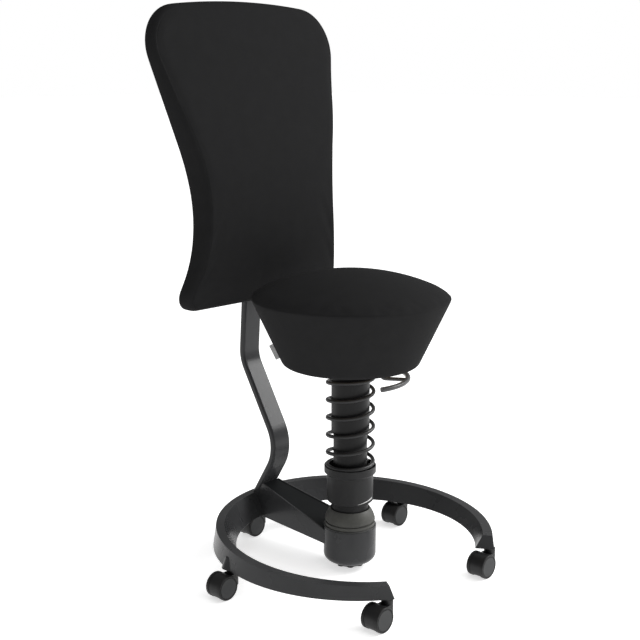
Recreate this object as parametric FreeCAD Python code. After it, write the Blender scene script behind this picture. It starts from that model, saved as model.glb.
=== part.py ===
import FreeCAD, Part
import math
import os

# Wobble stool with a backrest, in millimetres.
# The origin lies on the floor under the column, +Z is up, and the sitter faces -Y.
# Pieces stack upwards from the castors, so most heights are a rise above the piece below.

V = FreeCAD.Vector
ORIGIN = V(0, 0, 0)
X_AXIS = V(1, 0, 0)
Y_AXIS = V(0, 1, 0)
Z_AXIS = V(0, 0, 1)
FAR = 2000.0                 # larger than the whole stool, for cutting blocks

# Fits
RUNNING_FIT = 0.05           # radial play of a shaft that turns or slides in its bore
FACE_GAP = 0.3               # play between faces that pass each other
OVER = 1.0                   # how far a cutting body reaches past what it cuts

# Castors
WHEEL_R = 25.0
WHEEL_WIDTH = 8.0
WHEEL_EDGE_R = 2.0
WHEEL_GROOVE_R = 21.5
WHEEL_GROOVE_WIDTH = 1.2
WHEEL_GROOVE_DEPTH = 1.5
HOOD_WIDTH = 23.4
HOOD_SKIRT_Z = 7.0           # lower edge of the hood above the floor
HOOD_NOSE = 3.0              # middle of the stem's housing, ahead of the stem
HOOD_NOSE_Z = 20.0           # lower end of that housing above the floor
CASTOR_TRAIL = 26.0
CASTOR_AXLE_R = 4.0
CASTOR_AXLE_GRIP = 5.0       # how far the axle reaches into each wheel
CASTOR_STEM_R = 5.5
CASTOR_STEM_GRIP = 17.0      # how far the stem reaches into the ring
CASTOR_COLLAR_R = 10.5
CASTOR_COLLAR_H = 2.8
CASTOR_HEADROOM = 3.6        # housing above the wheels
CASTOR_INSET = 11.0          # stem inside the ring's outer lower edge
CASTOR_ANGLES = {"rear": 90, "left": 162, "front_left": 234, "front_right": 306, "right": 18}

# Base ring, a channel that is open below and taller at the rear
RING_CENTRE_Y = -10.0
RING_OUTER_R = 293.0         # at the lower edge
RING_OUTER_LEAN = 0.15       # the outer wall draws in by this much per millimetre of height
RING_WIDTH = 44.0            # at the lower edge
RING_INNER_LEAN = 0.57
RING_BOTTOM_Z = 2 * WHEEL_R + CASTOR_HEADROOM + CASTOR_COLLAR_H
RING_HEIGHT = 36.0           # above the column axis
RING_TOP_SLOPE = 0.0411      # rise of the top face towards the rear
RING_WALL = 4.0
RING_GAP_HALF_ANGLE = 34.1
RING_END_BEVEL = 20.0
SOCKET_R = 19.0              # castor socket at the ring's lower edge
SOCKET_TOP_R = 11.0
SOCKET_H = 22.0
SOCKET_CAP_H = 7.0
SOCKETS_PROUD = ("rear", "left", "right")   # sockets that stand out of the ring's outer wall

# Backrest post, a flat tube bent in the plane X = 0
POST_WIDTH = 50.0
POST_DEPTH = 15.0
POST_CORNER_R = 5.0
POST_WALL = 2.0
POST_LOW_Y = 191.0           # lower bend, where its straight runs would meet
POST_LOW_RISE = 158.8        # above the ring's lower edge
POST_LOW_BEND_R = 87.0
POST_FOOT_DROP = 123.8       # lower end of the run into the ring, below the lower bend
POST_FOOT_INSET = 16.4       # and inside the ring's outer lower edge
POST_HIGH_Y = 299.1          # upper bend
POST_HIGH_RISE = 187.8       # above the lower bend
POST_HIGH_BEND_R = 73.0
POST_TOP_LEAN = 4.0          # degrees, forwards going up
POST_TOP_LENGTH = 333.0

# Arm from the ring to the cup
ARM_PLATE = 3.0
ARM_SPLAY = 0.107            # each side plate moves out by this much per millimetre towards the cup
ARM_REF_Y = 236.0            # where the side plates are as wide apart as the post
ARM_TOP_RISE = 72.1          # top edge there, above the ring's lower edge
ARM_TOP_SLOPE = 0.2238
ARM_DROP = 4.4               # floor web below the ring's lower edge
INSERT_RECESS = 1.5
INSERT_T = 3.0

# Cup and tilt joint
PIVOT_RISE = 33.1            # tilt centre above the ring's lower edge
CUP_R = 55.0
CUP_DEPTH = 75.5
CUP_CORNER_R = 17.0
CUP_FLOOR = 6.0
CUP_BORE_R = 45.0
CUP_SHOULDER_DROP = 29.0     # rubber's seat below the tilt centre
BUFFER_H = 6.0
RETAINER_R = 54.6
RETAINER_H = 2.9
RETAINER_GROOVE = 0.6
DOME_R = 52.6                # lower part, a sphere about the tilt centre
DOME_WALL = 6.6
DOME_GAP = 0.5
DOME_SKIRT_ANGLE = 13.0      # degrees that the dome reaches below the tilt centre
DOME_BAND_RISE = 9.8         # top of its lower part above the tilt centre
DOME_GROOVE_H = 5.2
DOME_GROOVE_DEPTH = 3.2
DOME_CROWN_R = 53.5          # upper part
DOME_CROWN_LIFT = 5.5        # its middle above the tilt centre
DOME_TOP_RISE = 39.0         # its top edge above the tilt centre
DOME_TOP_EDGE = 2.5
YOKE_GAP = 18.0              # tilt centre to the inner face of each ear
YOKE_EAR_R = 9.0
YOKE_EAR_T = 10.0
CROSS_R = 15.0
JOURNAL_R = 6.0
BRACKET_PLATE_R = 31.0
BRACKET_PLATE_T = 4.0
KNOB_R = 34.0
KNOB_LOBE_R = 8.0
KNOB_LOBES = 8
KNOB_H = 8.0
KNOB_EDGE_R = 1.5
SPINDLE_R = 8.0
SPINDLE_HEAD_R = 12.0
SPINDLE_HEAD_H = 4.0

# Column
NECK_R = 38.8
NECK_BASE_RISE = 24.0        # underside of the neck above the tilt centre
NECK_RISE = 55.5             # top of the neck above the tilt centre
LOWER_TUBE_R = 35.0
LOWER_TUBE_WALL = 4.0
SPRING_CUP_R = 48.25
SPRING_CUP_BORE_R = 44.0
SPRING_CUP_H = 77.0
SPRING_CUP_FLOOR = 6.0
SPRING_CUP_CHAMFER = 2.0
SPRING_RIM_H = 17.0
SPRING_RIM_WALL = 2.2
SPRING_SEAT_DEPTH = 7.4
SPRING_WIRE = 8.0            # diameter
SPRING_R = 47.4              # to the middle of the wire
SPRING_PITCH = 37.2
SPRING_ACTIVE_TURNS = 4.88
SPRING_END_TURNS = 0.75
SPRING_END_GAP = 0.6         # between a closed end turn and itself
SPRING_START_ANGLE = -10.0   # degrees, where the wire begins
BOUNCE_TRAVEL = 50.0
BOUNCE_SPARE = 8.0
UPPER_TUBE_R = 39.5
UPPER_TUBE_WALL = 2.5
UPPER_TUBE_LENGTH = 124.7
BUSH_LENGTH = 36.0
COLLAR_R = 52.5
COLLAR_H = 8.0
COLLAR_CHAMFER = 3.0

# Gas lift
GAS_R = 14.0
GAS_WALL = 3.0
GAS_END = 6.0
GAS_LENGTH = 190.0
STAND_TUBE_R = 20.0
STAND_TUBE_BORE_R = 15.5
STAND_TUBE_LENGTH = 203.0
STAND_TUBE_FLOOR = 6.0
ROD_R = 5.0
ROD_LENGTH = 160.0
ROD_FLANGE_R = 9.0
ROD_FLANGE_H = 3.0
PISTON_H = 8.0
WASHER_R = 12.0
WASHER_T = 3.0
VALVE_R = 2.5
VALVE_PROUD = 6.2
VALVE_DEPTH = 5.5

# Seat
HUB_GAP = 1.8                # hub above the spring collar with the lift down
HUB_R = 24.0
HUB_H = 16.0
HUB_GAS_DEPTH = 12.0         # of the gas cylinder in the hub
HUB_FLANGE_R = 46.0
HUB_FLANGE_T = 6.0
PLATE_R = 117.7
PLATE_T = 12.0
SEAT_SKIRT = 6.0             # cover below the plate
SEAT_HEIGHT = 141.0          # cover's lower face to its rim
SEAT_CROWN = 39.0            # rim to the top of the dome
SEAT_RIM_R = 203.7           # before the rim is rounded
SEAT_RIM_EDGE_R = 12.0
SEAT_BOTTOM_R = 138.1
SEAT_BOTTOM_EDGE_R = 14.0
SCREW_R = 2.5
SCREW_HEAD_R = 5.0
SCREW_HEAD_H = 3.5
SCREW_REACH = 14.0
SCREW_CIRCLE_R = 36.0
SCREW_COUNT = 4

# Release lever
LEVER_ANGLE = -59.3          # degrees, direction of the radial arm
LEVER_ARM_R = 4.0
LEVER_FULCRUM_R = 40.0       # distance of the lever's pin from the column axis
LEVER_PIN_R = 2.5
LEVER_EAR_GAP = 0.5
LEVER_EAR_T = 4.6
LEVER_EAR_LENGTH = 9.0
LEVER_EAR_EDGE = 1.5         # of the ear above its pin
LEVER_TAIL = 5.0             # past the column axis
LEVER_KNEE_R = 51.0
LEVER_FOOT_R = 66.0
LEVER_BEND_R = 9.0
LEVER_DROP = 40.7
LEVER_BAR_R = 5.25
LEVER_BAR_CIRCLE_R = 117.0
LEVER_BAR_HALF_ANGLE = 48.0
LEVER_VALVE_GAP = 0.4

# Backrest, placed from the post's upper bend
LUMBAR_BEFORE_POST = 85.1    # foremost line of the front face, before the upper bend
LUMBAR_RISE = 312.0          # and above it
FRONT_LOW_R = 389.0
FRONT_HIGH_R = 760.0
FRONT_HIGH_SPAN = 245.0      # height of the upper lumbar arc
FRONT_TOP_R = 1266.0
LUMBAR_T = 51.0              # thickness, front to rear line of the lumbar
REAR_DROP = 35.0             # rear lumbar line below the front one
REAR_LOW_R = 400.0
REAR_HIGH_R = 700.0
REAR_HIGH_SPAN = 110.0
PAD_CROWN = 5.0
PAD_BOTTOM_DROP = 179.0      # lower edge below the lumbar line
PAD_TOP_RISE = 446.0         # top edge above the lumbar line
PAD_TOP_R = 1800.0
PAD_WAIST_HALF = 187.0
PAD_WAIST_R = 470.0
PAD_WAIST_RISE = 30.0        # waist above the lumbar line
PAD_FLARE = 15.7             # degrees, lean of the straight sides
PAD_TOP_CORNER_R = 85.0
PAD_BOTTOM_CORNER_R = 35.0
PAD_FRONT_EDGE_R = 13.0
PAD_REAR_EDGE_R = 7.0
SHELL_INSET = 12.0
SHELL_PROUD = 3.0
SHELL_SUNK = 5.0
GROOVE_GAP = 1.5             # round the post, in the back
BRACKET_WIDTH = 76.0
BRACKET_WALL = 6.0
BRACKET_LENGTH = 92.0
BRACKET_EDGE_R = 4.0
BRACKET_DROP = 87.0          # lower end below the lumbar line, along the post
BRACKET_FIT = 0.3
CLAMP_SCREW_R = 4.0
CLAMP_KNOB_R = 17.0
CLAMP_LOBE_R = 5.0
CLAMP_LOBES = 6
CLAMP_KNOB_H = 13.0
CLAMP_KNOB_GAP = 4.0
CLAMP_EDGE_R = 2.0

# Heights and places that follow from the sizes above
RING_INNER_R = RING_OUTER_R - RING_WIDTH
CASTOR_PITCH_R = RING_OUTER_R - CASTOR_INSET
PIVOT_Z = RING_BOTTOM_Z + PIVOT_RISE
PIVOT = V(0, 0, PIVOT_Z)
CUP_BOTTOM_Z = PIVOT_Z - CUP_DEPTH
CUP_FLOOR_Z = CUP_BOTTOM_Z + CUP_FLOOR
SHOULDER_Z = PIVOT_Z - CUP_SHOULDER_DROP
SOCKET_BORE_R = DOME_R + DOME_GAP
NECK_BASE_Z = PIVOT_Z + NECK_BASE_RISE
NECK_TOP_Z = PIVOT_Z + NECK_RISE
SPRING_CUP_TOP_Z = NECK_TOP_Z + SPRING_CUP_H
SPRING_SEAT_Z = SPRING_CUP_TOP_Z - SPRING_SEAT_DEPTH
SPRING_END_PITCH = SPRING_WIRE + SPRING_END_GAP
SPRING_HEIGHT = 2 * SPRING_END_TURNS * SPRING_END_PITCH + SPRING_ACTIVE_TURNS * SPRING_PITCH
SPRING_BASE_Z = SPRING_SEAT_Z + SPRING_WIRE / 2 + FACE_GAP
COLLAR_Z = SPRING_BASE_Z + SPRING_HEIGHT + SPRING_WIRE / 2 + FACE_GAP
COLLAR_TOP_Z = COLLAR_Z + COLLAR_H
UPPER_TUBE_Z = COLLAR_Z - UPPER_TUBE_LENGTH
LOWER_TUBE_TOP_Z = COLLAR_Z - BOUNCE_TRAVEL - BOUNCE_SPARE
STAND_TUBE_Z = COLLAR_Z - STAND_TUBE_LENGTH
HUB_Z = COLLAR_TOP_Z + HUB_GAP
HUB_TOP_Z = HUB_Z + HUB_H
GAS_TOP_Z = HUB_Z + HUB_GAS_DEPTH
GAS_Z = GAS_TOP_Z - GAS_LENGTH
VALVE_TOP_Z = GAS_TOP_Z + VALVE_PROUD
LEVER_Z = VALVE_TOP_Z + LEVER_VALVE_GAP + LEVER_ARM_R
LEVER_BAR_Z = LEVER_Z - LEVER_DROP
PLATE_TOP_Z = HUB_TOP_Z + PLATE_T
SEAT_Z = HUB_TOP_Z - SEAT_SKIRT
POST_LOW = V(0, POST_LOW_Y, RING_BOTTOM_Z + POST_LOW_RISE)
POST_HIGH = V(0, POST_HIGH_Y, POST_LOW.z + POST_HIGH_RISE)
POST_FOOT = V(0, RING_CENTRE_Y + RING_OUTER_R - POST_FOOT_INSET, POST_LOW.z - POST_FOOT_DROP)
POST_FOOT_LEAN = math.degrees(math.atan2(POST_FOOT.y - POST_LOW.y, POST_FOOT_DROP))
POST_TOP_UP = V(0, -math.sin(math.radians(POST_TOP_LEAN)), math.cos(math.radians(POST_TOP_LEAN)))
POST_TOP = POST_HIGH + POST_TOP_UP * POST_TOP_LENGTH
LUMBAR_Y = POST_HIGH.y - LUMBAR_BEFORE_POST
LUMBAR_Z = POST_HIGH.z + LUMBAR_RISE
BRACKET_ALONG = LUMBAR_RISE - BRACKET_DROP
PAD_BOTTOM_Z = LUMBAR_Z - PAD_BOTTOM_DROP
PAD_TOP_Z = LUMBAR_Z + PAD_TOP_RISE


# General shapes

def cylinder(radius, low, high, x=0.0, y=0.0):
    """Upright cylinder between two heights."""
    return Part.makeCylinder(radius, high - low, V(x, y, low))


def tube(outer, inner, low, high):
    """Upright round tube on the column axis."""
    return cylinder(outer, low, high).cut(cylinder(inner, low - OVER, high + OVER))


def closed_wire(start, *steps):
    """Wire through points; a step is the next point, or a pair (point on the arc, next point)."""
    edges = []
    here = start
    for step in steps + (start,):
        if isinstance(step, tuple):
            edges.append(Part.Arc(here, step[0], step[1]).toShape())
            here = step[1]
        elif here.distanceToPoint(step) > 1e-6:
            edges.append(Part.LineSegment(here, step).toShape())
            here = step
    return Part.Wire(edges)


def turned(start, *steps):
    """Solid of revolution about the column axis, from an outline of (radius, 0, height) points."""
    return Part.Face(closed_wire(start, *steps)).revolve(ORIGIN, Z_AXIS, 360)


def below_plane(y, z, slope):
    """Everything below the plane through (y, z) that rises towards the rear by slope."""
    block = Part.makeBox(FAR, FAR, FAR, V(-FAR / 2, -FAR / 2, -FAR))
    block.rotate(ORIGIN, X_AXIS, math.degrees(math.atan(slope)))
    block.translate(V(0, y, z))
    return block


def rounded_path(points, radii):
    """Straight runs between points, joined by tangent arcs."""
    edges = []
    here = points[0]
    for before, corner, after, radius in zip(points, points[1:], points[2:], radii):
        back = (before - corner).normalize()
        ahead = (after - corner).normalize()
        half = back.getAngle(ahead) / 2
        bisector = (back + ahead).normalize()
        arc_start = corner + back * (radius / math.tan(half))
        arc_middle = corner + bisector * (radius / math.sin(half) - radius)
        arc_end = corner + ahead * (radius / math.tan(half))
        edges.append(Part.LineSegment(here, arc_start).toShape())
        edges.append(Part.Arc(arc_start, arc_middle, arc_end).toShape())
        here = arc_end
    edges.append(Part.LineSegment(here, points[-1]).toShape())
    return Part.Wire(edges)


def rounded_rectangle(width, depth, radius):
    """Wire in the plane Z = 0, centred on the origin."""
    w = width / 2
    d = depth / 2
    k = radius * (1 - math.sqrt(0.5))
    return closed_wire(
        V(w - radius, -d, 0), (V(w - k, -d + k, 0), V(w, -d + radius, 0)),
        V(w, d - radius, 0), (V(w - k, d - k, 0), V(w - radius, d, 0)),
        V(-w + radius, d, 0), (V(-w + k, d - k, 0), V(-w, d - radius, 0)),
        V(-w, -d + radius, 0), (V(-w + k, -d + k, 0), V(-w + radius, -d, 0)))


def lobed_disc(radius, lobe_r, lobes, height):
    """Star-shaped grip between Z = 0 and its height."""
    disc = cylinder(radius - lobe_r * 0.6, 0, height)
    for i in range(lobes):
        angle = 2 * math.pi * i / lobes
        reach = radius - lobe_r
        disc = disc.fuse(cylinder(lobe_r, 0, height, reach * math.cos(angle), reach * math.sin(angle)))
    return disc.removeSplitter()


def flat_edges(shape, z):
    """Edges that lie at one height."""
    return [e for e in shape.Edges if abs(e.BoundBox.ZMin - z) < 1e-4 and abs(e.BoundBox.ZMax - z) < 1e-4]


# Base ring

def ring_cone(radius, lean, y, low, high):
    """Cone about a vertical axis at y, with the radius given at the ring's lower edge."""
    low_r = radius + lean * (low - RING_BOTTOM_Z)
    high_r = radius + lean * (high - RING_BOTTOM_Z)
    return Part.makeCone(low_r, high_r, high - low, V(0, y, low))


def ring_top_z(y):
    """Height of the ring's top face."""
    return RING_BOTTOM_Z + RING_HEIGHT + RING_TOP_SLOPE * y


def ring_inner_space(low, high, inset=0.0):
    """The space inside the ring's inner wall."""
    # The cone stands off-centre, so that the sloping top face is evenly wide.
    shift = RING_INNER_LEAN * RING_TOP_SLOPE * RING_INNER_R
    radius = RING_INNER_R + inset * math.hypot(1, RING_INNER_LEAN)
    return ring_cone(radius, RING_INNER_LEAN, RING_CENTRE_Y - shift, low, high)


def ring_gap(inset):
    """The opening at the front, between the bevelled ends."""
    mid_z = (RING_BOTTOM_Z + ring_top_z(-RING_OUTER_R)) / 2
    depth = 1.15 * RING_OUTER_R * math.sin(math.radians(RING_GAP_HALF_ANGLE))
    block = Part.makeBox(1.2 * RING_OUTER_R, depth, FAR, V(0, inset - depth, -FAR / 2))
    block.rotate(ORIGIN, X_AXIS, -RING_END_BEVEL)
    block.rotate(ORIGIN, Z_AXIS, RING_GAP_HALF_ANGLE - 90)
    block.translate(V(0, RING_CENTRE_Y, mid_z))
    return block.fuse(block.mirror(ORIGIN, X_AXIS))


def ring_form(inset, low):
    """The ring as a closed ring of full section, with its walls moved in by inset."""
    high = ring_top_z(RING_OUTER_R) + RING_WALL
    outer = ring_cone(RING_OUTER_R - inset, -RING_OUTER_LEAN, RING_CENTRE_Y, low, high)
    ring = outer.cut(ring_inner_space(low - OVER, high + OVER, inset))
    return ring.common(below_plane(0, ring_top_z(0) - inset, RING_TOP_SLOPE))


def castor_place(angle):
    """Point on the floor under a castor's stem."""
    turn = math.radians(angle)
    return V(CASTOR_PITCH_R * math.cos(turn), RING_CENTRE_Y + CASTOR_PITCH_R * math.sin(turn), 0)


def castor_socket():
    """Tapered boss with a pointed cap, drawn on the Z axis."""
    high = RING_BOTTOM_Z + SOCKET_H
    return turned(V(0, 0, RING_BOTTOM_Z), V(SOCKET_R, 0, RING_BOTTOM_Z), V(SOCKET_TOP_R, 0, high),
                  V(0, 0, high + SOCKET_CAP_H))


def base_ring():
    """Channel-section ring with castor sockets."""
    form = ring_form(0, RING_BOTTOM_Z)
    hollow = ring_form(RING_WALL, RING_BOTTOM_Z - OVER).cut(ring_gap(RING_WALL))
    ring = form.cut(hollow)
    roof = below_plane(0, ring_top_z(0) - RING_WALL / 2, RING_TOP_SLOPE)
    for name, angle in CASTOR_ANGLES.items():
        socket = castor_socket()
        socket.translate(castor_place(angle))
        if name not in SOCKETS_PROUD:
            socket = socket.common(form)
        ring = ring.fuse(socket.common(roof))
    ring = ring.cut(ring_gap(0))
    for angle in CASTOR_ANGLES.values():
        place = castor_place(angle)
        top = RING_BOTTOM_Z + CASTOR_STEM_GRIP
        ring = ring.cut(cylinder(CASTOR_STEM_R + RUNNING_FIT, RING_BOTTOM_Z - OVER, top, place.x, place.y))
    return ring.removeSplitter()


# Backrest post

def post_section(growth=0.0):
    """Outline of the flat tube, grown or shrunk all round."""
    return rounded_rectangle(POST_WIDTH + 2 * growth, POST_DEPTH + 2 * growth, POST_CORNER_R + growth)


def post_sweep(section):
    """The section carried along the post from its foot to its top."""
    path = rounded_path([POST_FOOT, POST_LOW, POST_HIGH, POST_TOP], [POST_LOW_BEND_R, POST_HIGH_BEND_R])
    section.rotate(ORIGIN, X_AXIS, POST_FOOT_LEAN)
    section.translate(POST_FOOT)
    return path.makePipeShell([section], True, False)


def backrest_post():
    """Bent flat tube, cut to sit on the ring's inner edge."""
    tube_solid = post_sweep(post_section()).cut(post_sweep(post_section(-POST_WALL)))
    return tube_solid.cut(ring_form(0, RING_BOTTOM_Z))


def behind_post_foot(gap):
    """Everything behind the front face of the post's lower run, moved forward by gap."""
    block = Part.makeBox(FAR, FAR, FAR, V(-FAR / 2, -POST_DEPTH / 2 - gap, -FAR / 2))
    block.rotate(ORIGIN, X_AXIS, POST_FOOT_LEAN)
    block.translate(POST_LOW)
    return block


# Arm

def arm_prism(inset, low):
    """Wedge in plan between the arm's side plates, moved in by inset."""
    rear_y = RING_OUTER_R
    rear = POST_WIDTH / 2 - ARM_SPLAY * (rear_y - ARM_REF_Y) - inset
    front = POST_WIDTH / 2 + ARM_SPLAY * ARM_REF_Y - inset
    outline = closed_wire(V(-rear, rear_y, low), V(rear, rear_y, low), V(front, 0, low), V(-front, 0, low))
    return Part.Face(outline).extrude(V(0, 0, FAR / 2))


def arm_trim(shape, gap, drop):
    """Fit a piece of the arm between the cup, the ring and the post, below its top edge."""
    top_z = RING_BOTTOM_Z + ARM_TOP_RISE - drop
    low = RING_BOTTOM_Z - 3 * ARM_DROP
    shape = shape.common(below_plane(ARM_REF_Y, top_z, ARM_TOP_SLOPE))
    shape = shape.cut(cylinder(CUP_R + gap, 0, FAR)).cut(behind_post_foot(gap))
    return shape.common(ring_inner_space(low, RING_BOTTOM_Z + 3 * RING_HEIGHT, -gap))


def support_arm():
    """Folded sheet channel: two splayed side plates and a floor web."""
    floor_z = RING_BOTTOM_Z - ARM_DROP
    channel = arm_prism(0, floor_z).cut(arm_prism(ARM_PLATE, floor_z + ARM_PLATE))
    return arm_trim(channel, 0, 0).removeSplitter()


def arm_insert():
    """Cover strip that lies between the side plates, just below their edges."""
    strip = arm_prism(ARM_PLATE, RING_BOTTOM_Z)
    under = below_plane(ARM_REF_Y, RING_BOTTOM_Z + ARM_TOP_RISE - INSERT_RECESS - INSERT_T, ARM_TOP_SLOPE)
    return arm_trim(strip, FACE_GAP, INSERT_RECESS).cut(under)


# Cup and tilt joint

def base_cup():
    """Housing with a rounded lower edge, a floor and a shoulder for the rubber ring."""
    k = CUP_CORNER_R * (1 - math.sqrt(0.5))
    cup = turned(
        V(SPINDLE_R + RUNNING_FIT, 0, CUP_BOTTOM_Z), V(CUP_R - CUP_CORNER_R, 0, CUP_BOTTOM_Z),
        (V(CUP_R - k, 0, CUP_BOTTOM_Z + k), V(CUP_R, 0, CUP_BOTTOM_Z + CUP_CORNER_R)),
        V(CUP_R, 0, PIVOT_Z), V(SOCKET_BORE_R, 0, PIVOT_Z), V(SOCKET_BORE_R, 0, SHOULDER_Z),
        V(CUP_BORE_R, 0, SHOULDER_Z), V(CUP_BORE_R, 0, CUP_FLOOR_Z + CUP_FLOOR),
        V(CUP_BORE_R - CUP_FLOOR, 0, CUP_FLOOR_Z), V(SPINDLE_R + RUNNING_FIT, 0, CUP_FLOOR_Z))
    return cup


def retaining_ring():
    """Ring on the cup's rim, with a shadow groove at its foot."""
    top = PIVOT_Z + RETAINER_H
    foot = RETAINER_R - RETAINER_GROOVE
    return turned(
        V(SOCKET_BORE_R, 0, PIVOT_Z), V(foot, 0, PIVOT_Z), V(foot, 0, PIVOT_Z + RETAINER_GROOVE),
        V(RETAINER_R, 0, PIVOT_Z + RETAINER_GROOVE), V(RETAINER_R, 0, top - RETAINER_GROOVE / 2),
        V(RETAINER_R - RETAINER_GROOVE / 2, 0, top), V(SOCKET_BORE_R, 0, top))


def buffer_ring():
    """Rubber ring on the cup's shoulder, which stops the dome's skirt."""
    return tube(SOCKET_BORE_R, CUP_BORE_R, SHOULDER_Z, SHOULDER_Z + BUFFER_H)


def dome_boot():
    """Rubber boot round the neck: a sphere about the tilt centre, and a fuller crown above a groove."""
    def on_sphere(radius, angle, lift=0.0):
        turn = math.radians(angle)
        return V(radius * math.cos(turn), 0, PIVOT_Z + lift + radius * math.sin(turn))

    def angle_at(rise, radius, lift=0.0):
        return math.degrees(math.asin((rise - lift) / radius))

    inner_r = DOME_R - DOME_WALL
    skirt = -DOME_SKIRT_ANGLE
    band = angle_at(DOME_BAND_RISE, DOME_R)
    lip = angle_at(DOME_BAND_RISE + DOME_GROOVE_H, DOME_CROWN_R, DOME_CROWN_LIFT)
    crest = angle_at(DOME_TOP_RISE, DOME_CROWN_R, DOME_CROWN_LIFT)
    inner_crown = math.degrees(math.acos(NECK_R / inner_r))
    groove_r = DOME_R - DOME_GROOVE_DEPTH
    groove_z = PIVOT_Z + DOME_BAND_RISE
    top_z = PIVOT_Z + DOME_TOP_RISE
    edge = DOME_TOP_EDGE * (1 - math.sqrt(0.5))
    crown_middle = on_sphere(DOME_CROWN_R, (lip + crest) / 2, DOME_CROWN_LIFT)
    return turned(
        on_sphere(DOME_R, skirt), (on_sphere(DOME_R, (skirt + band) / 2), on_sphere(DOME_R, band)),
        V(groove_r, 0, groove_z), V(groove_r, 0, groove_z + DOME_GROOVE_H),
        on_sphere(DOME_CROWN_R, lip, DOME_CROWN_LIFT),
        (crown_middle, on_sphere(DOME_CROWN_R, crest, DOME_CROWN_LIFT)),
        (V(NECK_R + edge, 0, top_z - edge), V(NECK_R, 0, top_z - DOME_TOP_EDGE)),
        on_sphere(inner_r, inner_crown),
        (on_sphere(inner_r, (skirt + inner_crown) / 2), on_sphere(inner_r, skirt)))


def yoke_ears(far_z):
    """Two round-ended ears across Y, from the tilt axis to a height above or below it."""
    low = min(far_z, PIVOT_Z)
    ears = None
    for side in (1, -1):
        face_y = side * (YOKE_GAP + YOKE_EAR_T / 2)
        ear = Part.makeBox(2 * YOKE_EAR_R, YOKE_EAR_T, abs(far_z - PIVOT_Z),
                           V(-YOKE_EAR_R, face_y - YOKE_EAR_T / 2, low))
        end = Part.makeCylinder(YOKE_EAR_R, YOKE_EAR_T, V(0, face_y - YOKE_EAR_T / 2, PIVOT_Z), Y_AXIS)
        ear = ear.fuse(end)
        ears = ear if ears is None else ears.fuse(ear)
    reach = YOKE_GAP + YOKE_EAR_T
    bore_end = reach + OVER
    bore = Part.makeCylinder(JOURNAL_R + RUNNING_FIT, 2 * bore_end, V(0, -bore_end, PIVOT_Z), Y_AXIS)
    return ears.cut(bore)


def tilt_bracket():
    """Fixed fork on the cup's floor, which carries the side-to-side pin of the tilt joint."""
    ears = yoke_ears(CUP_FLOOR_Z)
    ears.rotate(PIVOT, Z_AXIS, 90)
    plate = cylinder(BRACKET_PLATE_R, CUP_FLOOR_Z, CUP_FLOOR_Z + BRACKET_PLATE_T)
    bore = cylinder(SPINDLE_R + FACE_GAP, CUP_FLOOR_Z - OVER, CUP_FLOOR_Z + BRACKET_PLATE_T + OVER)
    return ears.fuse(plate).cut(bore).removeSplitter()


def pivot_cross():
    """Ball with four journals: one pair turns in the fixed fork, the other in the column's fork."""
    reach = YOKE_GAP + YOKE_EAR_T
    cross = Part.makeSphere(CROSS_R, PIVOT)
    for axis in (X_AXIS, Y_AXIS):
        cross = cross.fuse(Part.makeCylinder(JOURNAL_R, 2 * reach, PIVOT - axis * reach, axis))
    return cross.removeSplitter()


def stiffness_knob():
    """Lobed knob under the cup."""
    top = CUP_BOTTOM_Z - FACE_GAP
    knob = lobed_disc(KNOB_R, KNOB_LOBE_R, KNOB_LOBES, KNOB_H)
    knob = knob.makeFillet(KNOB_EDGE_R, flat_edges(knob, 0))
    knob.translate(V(0, 0, top - KNOB_H))
    return knob.cut(cylinder(SPINDLE_R, top - KNOB_H / 2, top + OVER))


def knob_spindle():
    """Headed spindle that turns in the cup's floor."""
    low = CUP_BOTTOM_Z - FACE_GAP - KNOB_H / 2
    head_z = CUP_FLOOR_Z + BRACKET_PLATE_T + FACE_GAP
    return cylinder(SPINDLE_R, low, head_z).fuse(cylinder(SPINDLE_HEAD_R, head_z, head_z + SPINDLE_HEAD_H))


# Column

def column_stem():
    """Neck of the column with the fork that hangs on the cross."""
    neck = cylinder(NECK_R, NECK_BASE_Z, NECK_TOP_Z)
    return neck.fuse(yoke_ears(NECK_BASE_Z)).removeSplitter()


def lower_tube():
    """Guide tube that stands on the neck."""
    return tube(LOWER_TUBE_R, LOWER_TUBE_R - LOWER_TUBE_WALL, NECK_TOP_Z, LOWER_TUBE_TOP_Z)


def spring_cup():
    """Adjusting cup on the guide tube; its rim holds the spring's lowest turn."""
    rim_bore = SPRING_R + SPRING_WIRE / 2 + FACE_GAP
    rim_r = rim_bore + SPRING_RIM_WALL
    rim_z = SPRING_CUP_TOP_Z - SPRING_RIM_H
    bore = LOWER_TUBE_R + RUNNING_FIT
    step = rim_r - SPRING_CUP_R
    return turned(
        V(bore, 0, NECK_TOP_Z), V(SPRING_CUP_R - SPRING_CUP_CHAMFER, 0, NECK_TOP_Z),
        V(SPRING_CUP_R, 0, NECK_TOP_Z + SPRING_CUP_CHAMFER), V(SPRING_CUP_R, 0, rim_z - step / 2),
        V(rim_r, 0, rim_z + step / 2), V(rim_r, 0, SPRING_CUP_TOP_Z - SPRING_RIM_WALL / 2),
        (V(rim_r - SPRING_RIM_WALL / 2, 0, SPRING_CUP_TOP_Z),
         V(rim_bore, 0, SPRING_CUP_TOP_Z - SPRING_RIM_WALL / 2)),
        V(rim_bore, 0, SPRING_SEAT_Z), V(SPRING_CUP_BORE_R, 0, SPRING_SEAT_Z),
        V(SPRING_CUP_BORE_R, 0, NECK_TOP_Z + SPRING_CUP_FLOOR), V(bore, 0, NECK_TOP_Z + SPRING_CUP_FLOOR))


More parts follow.
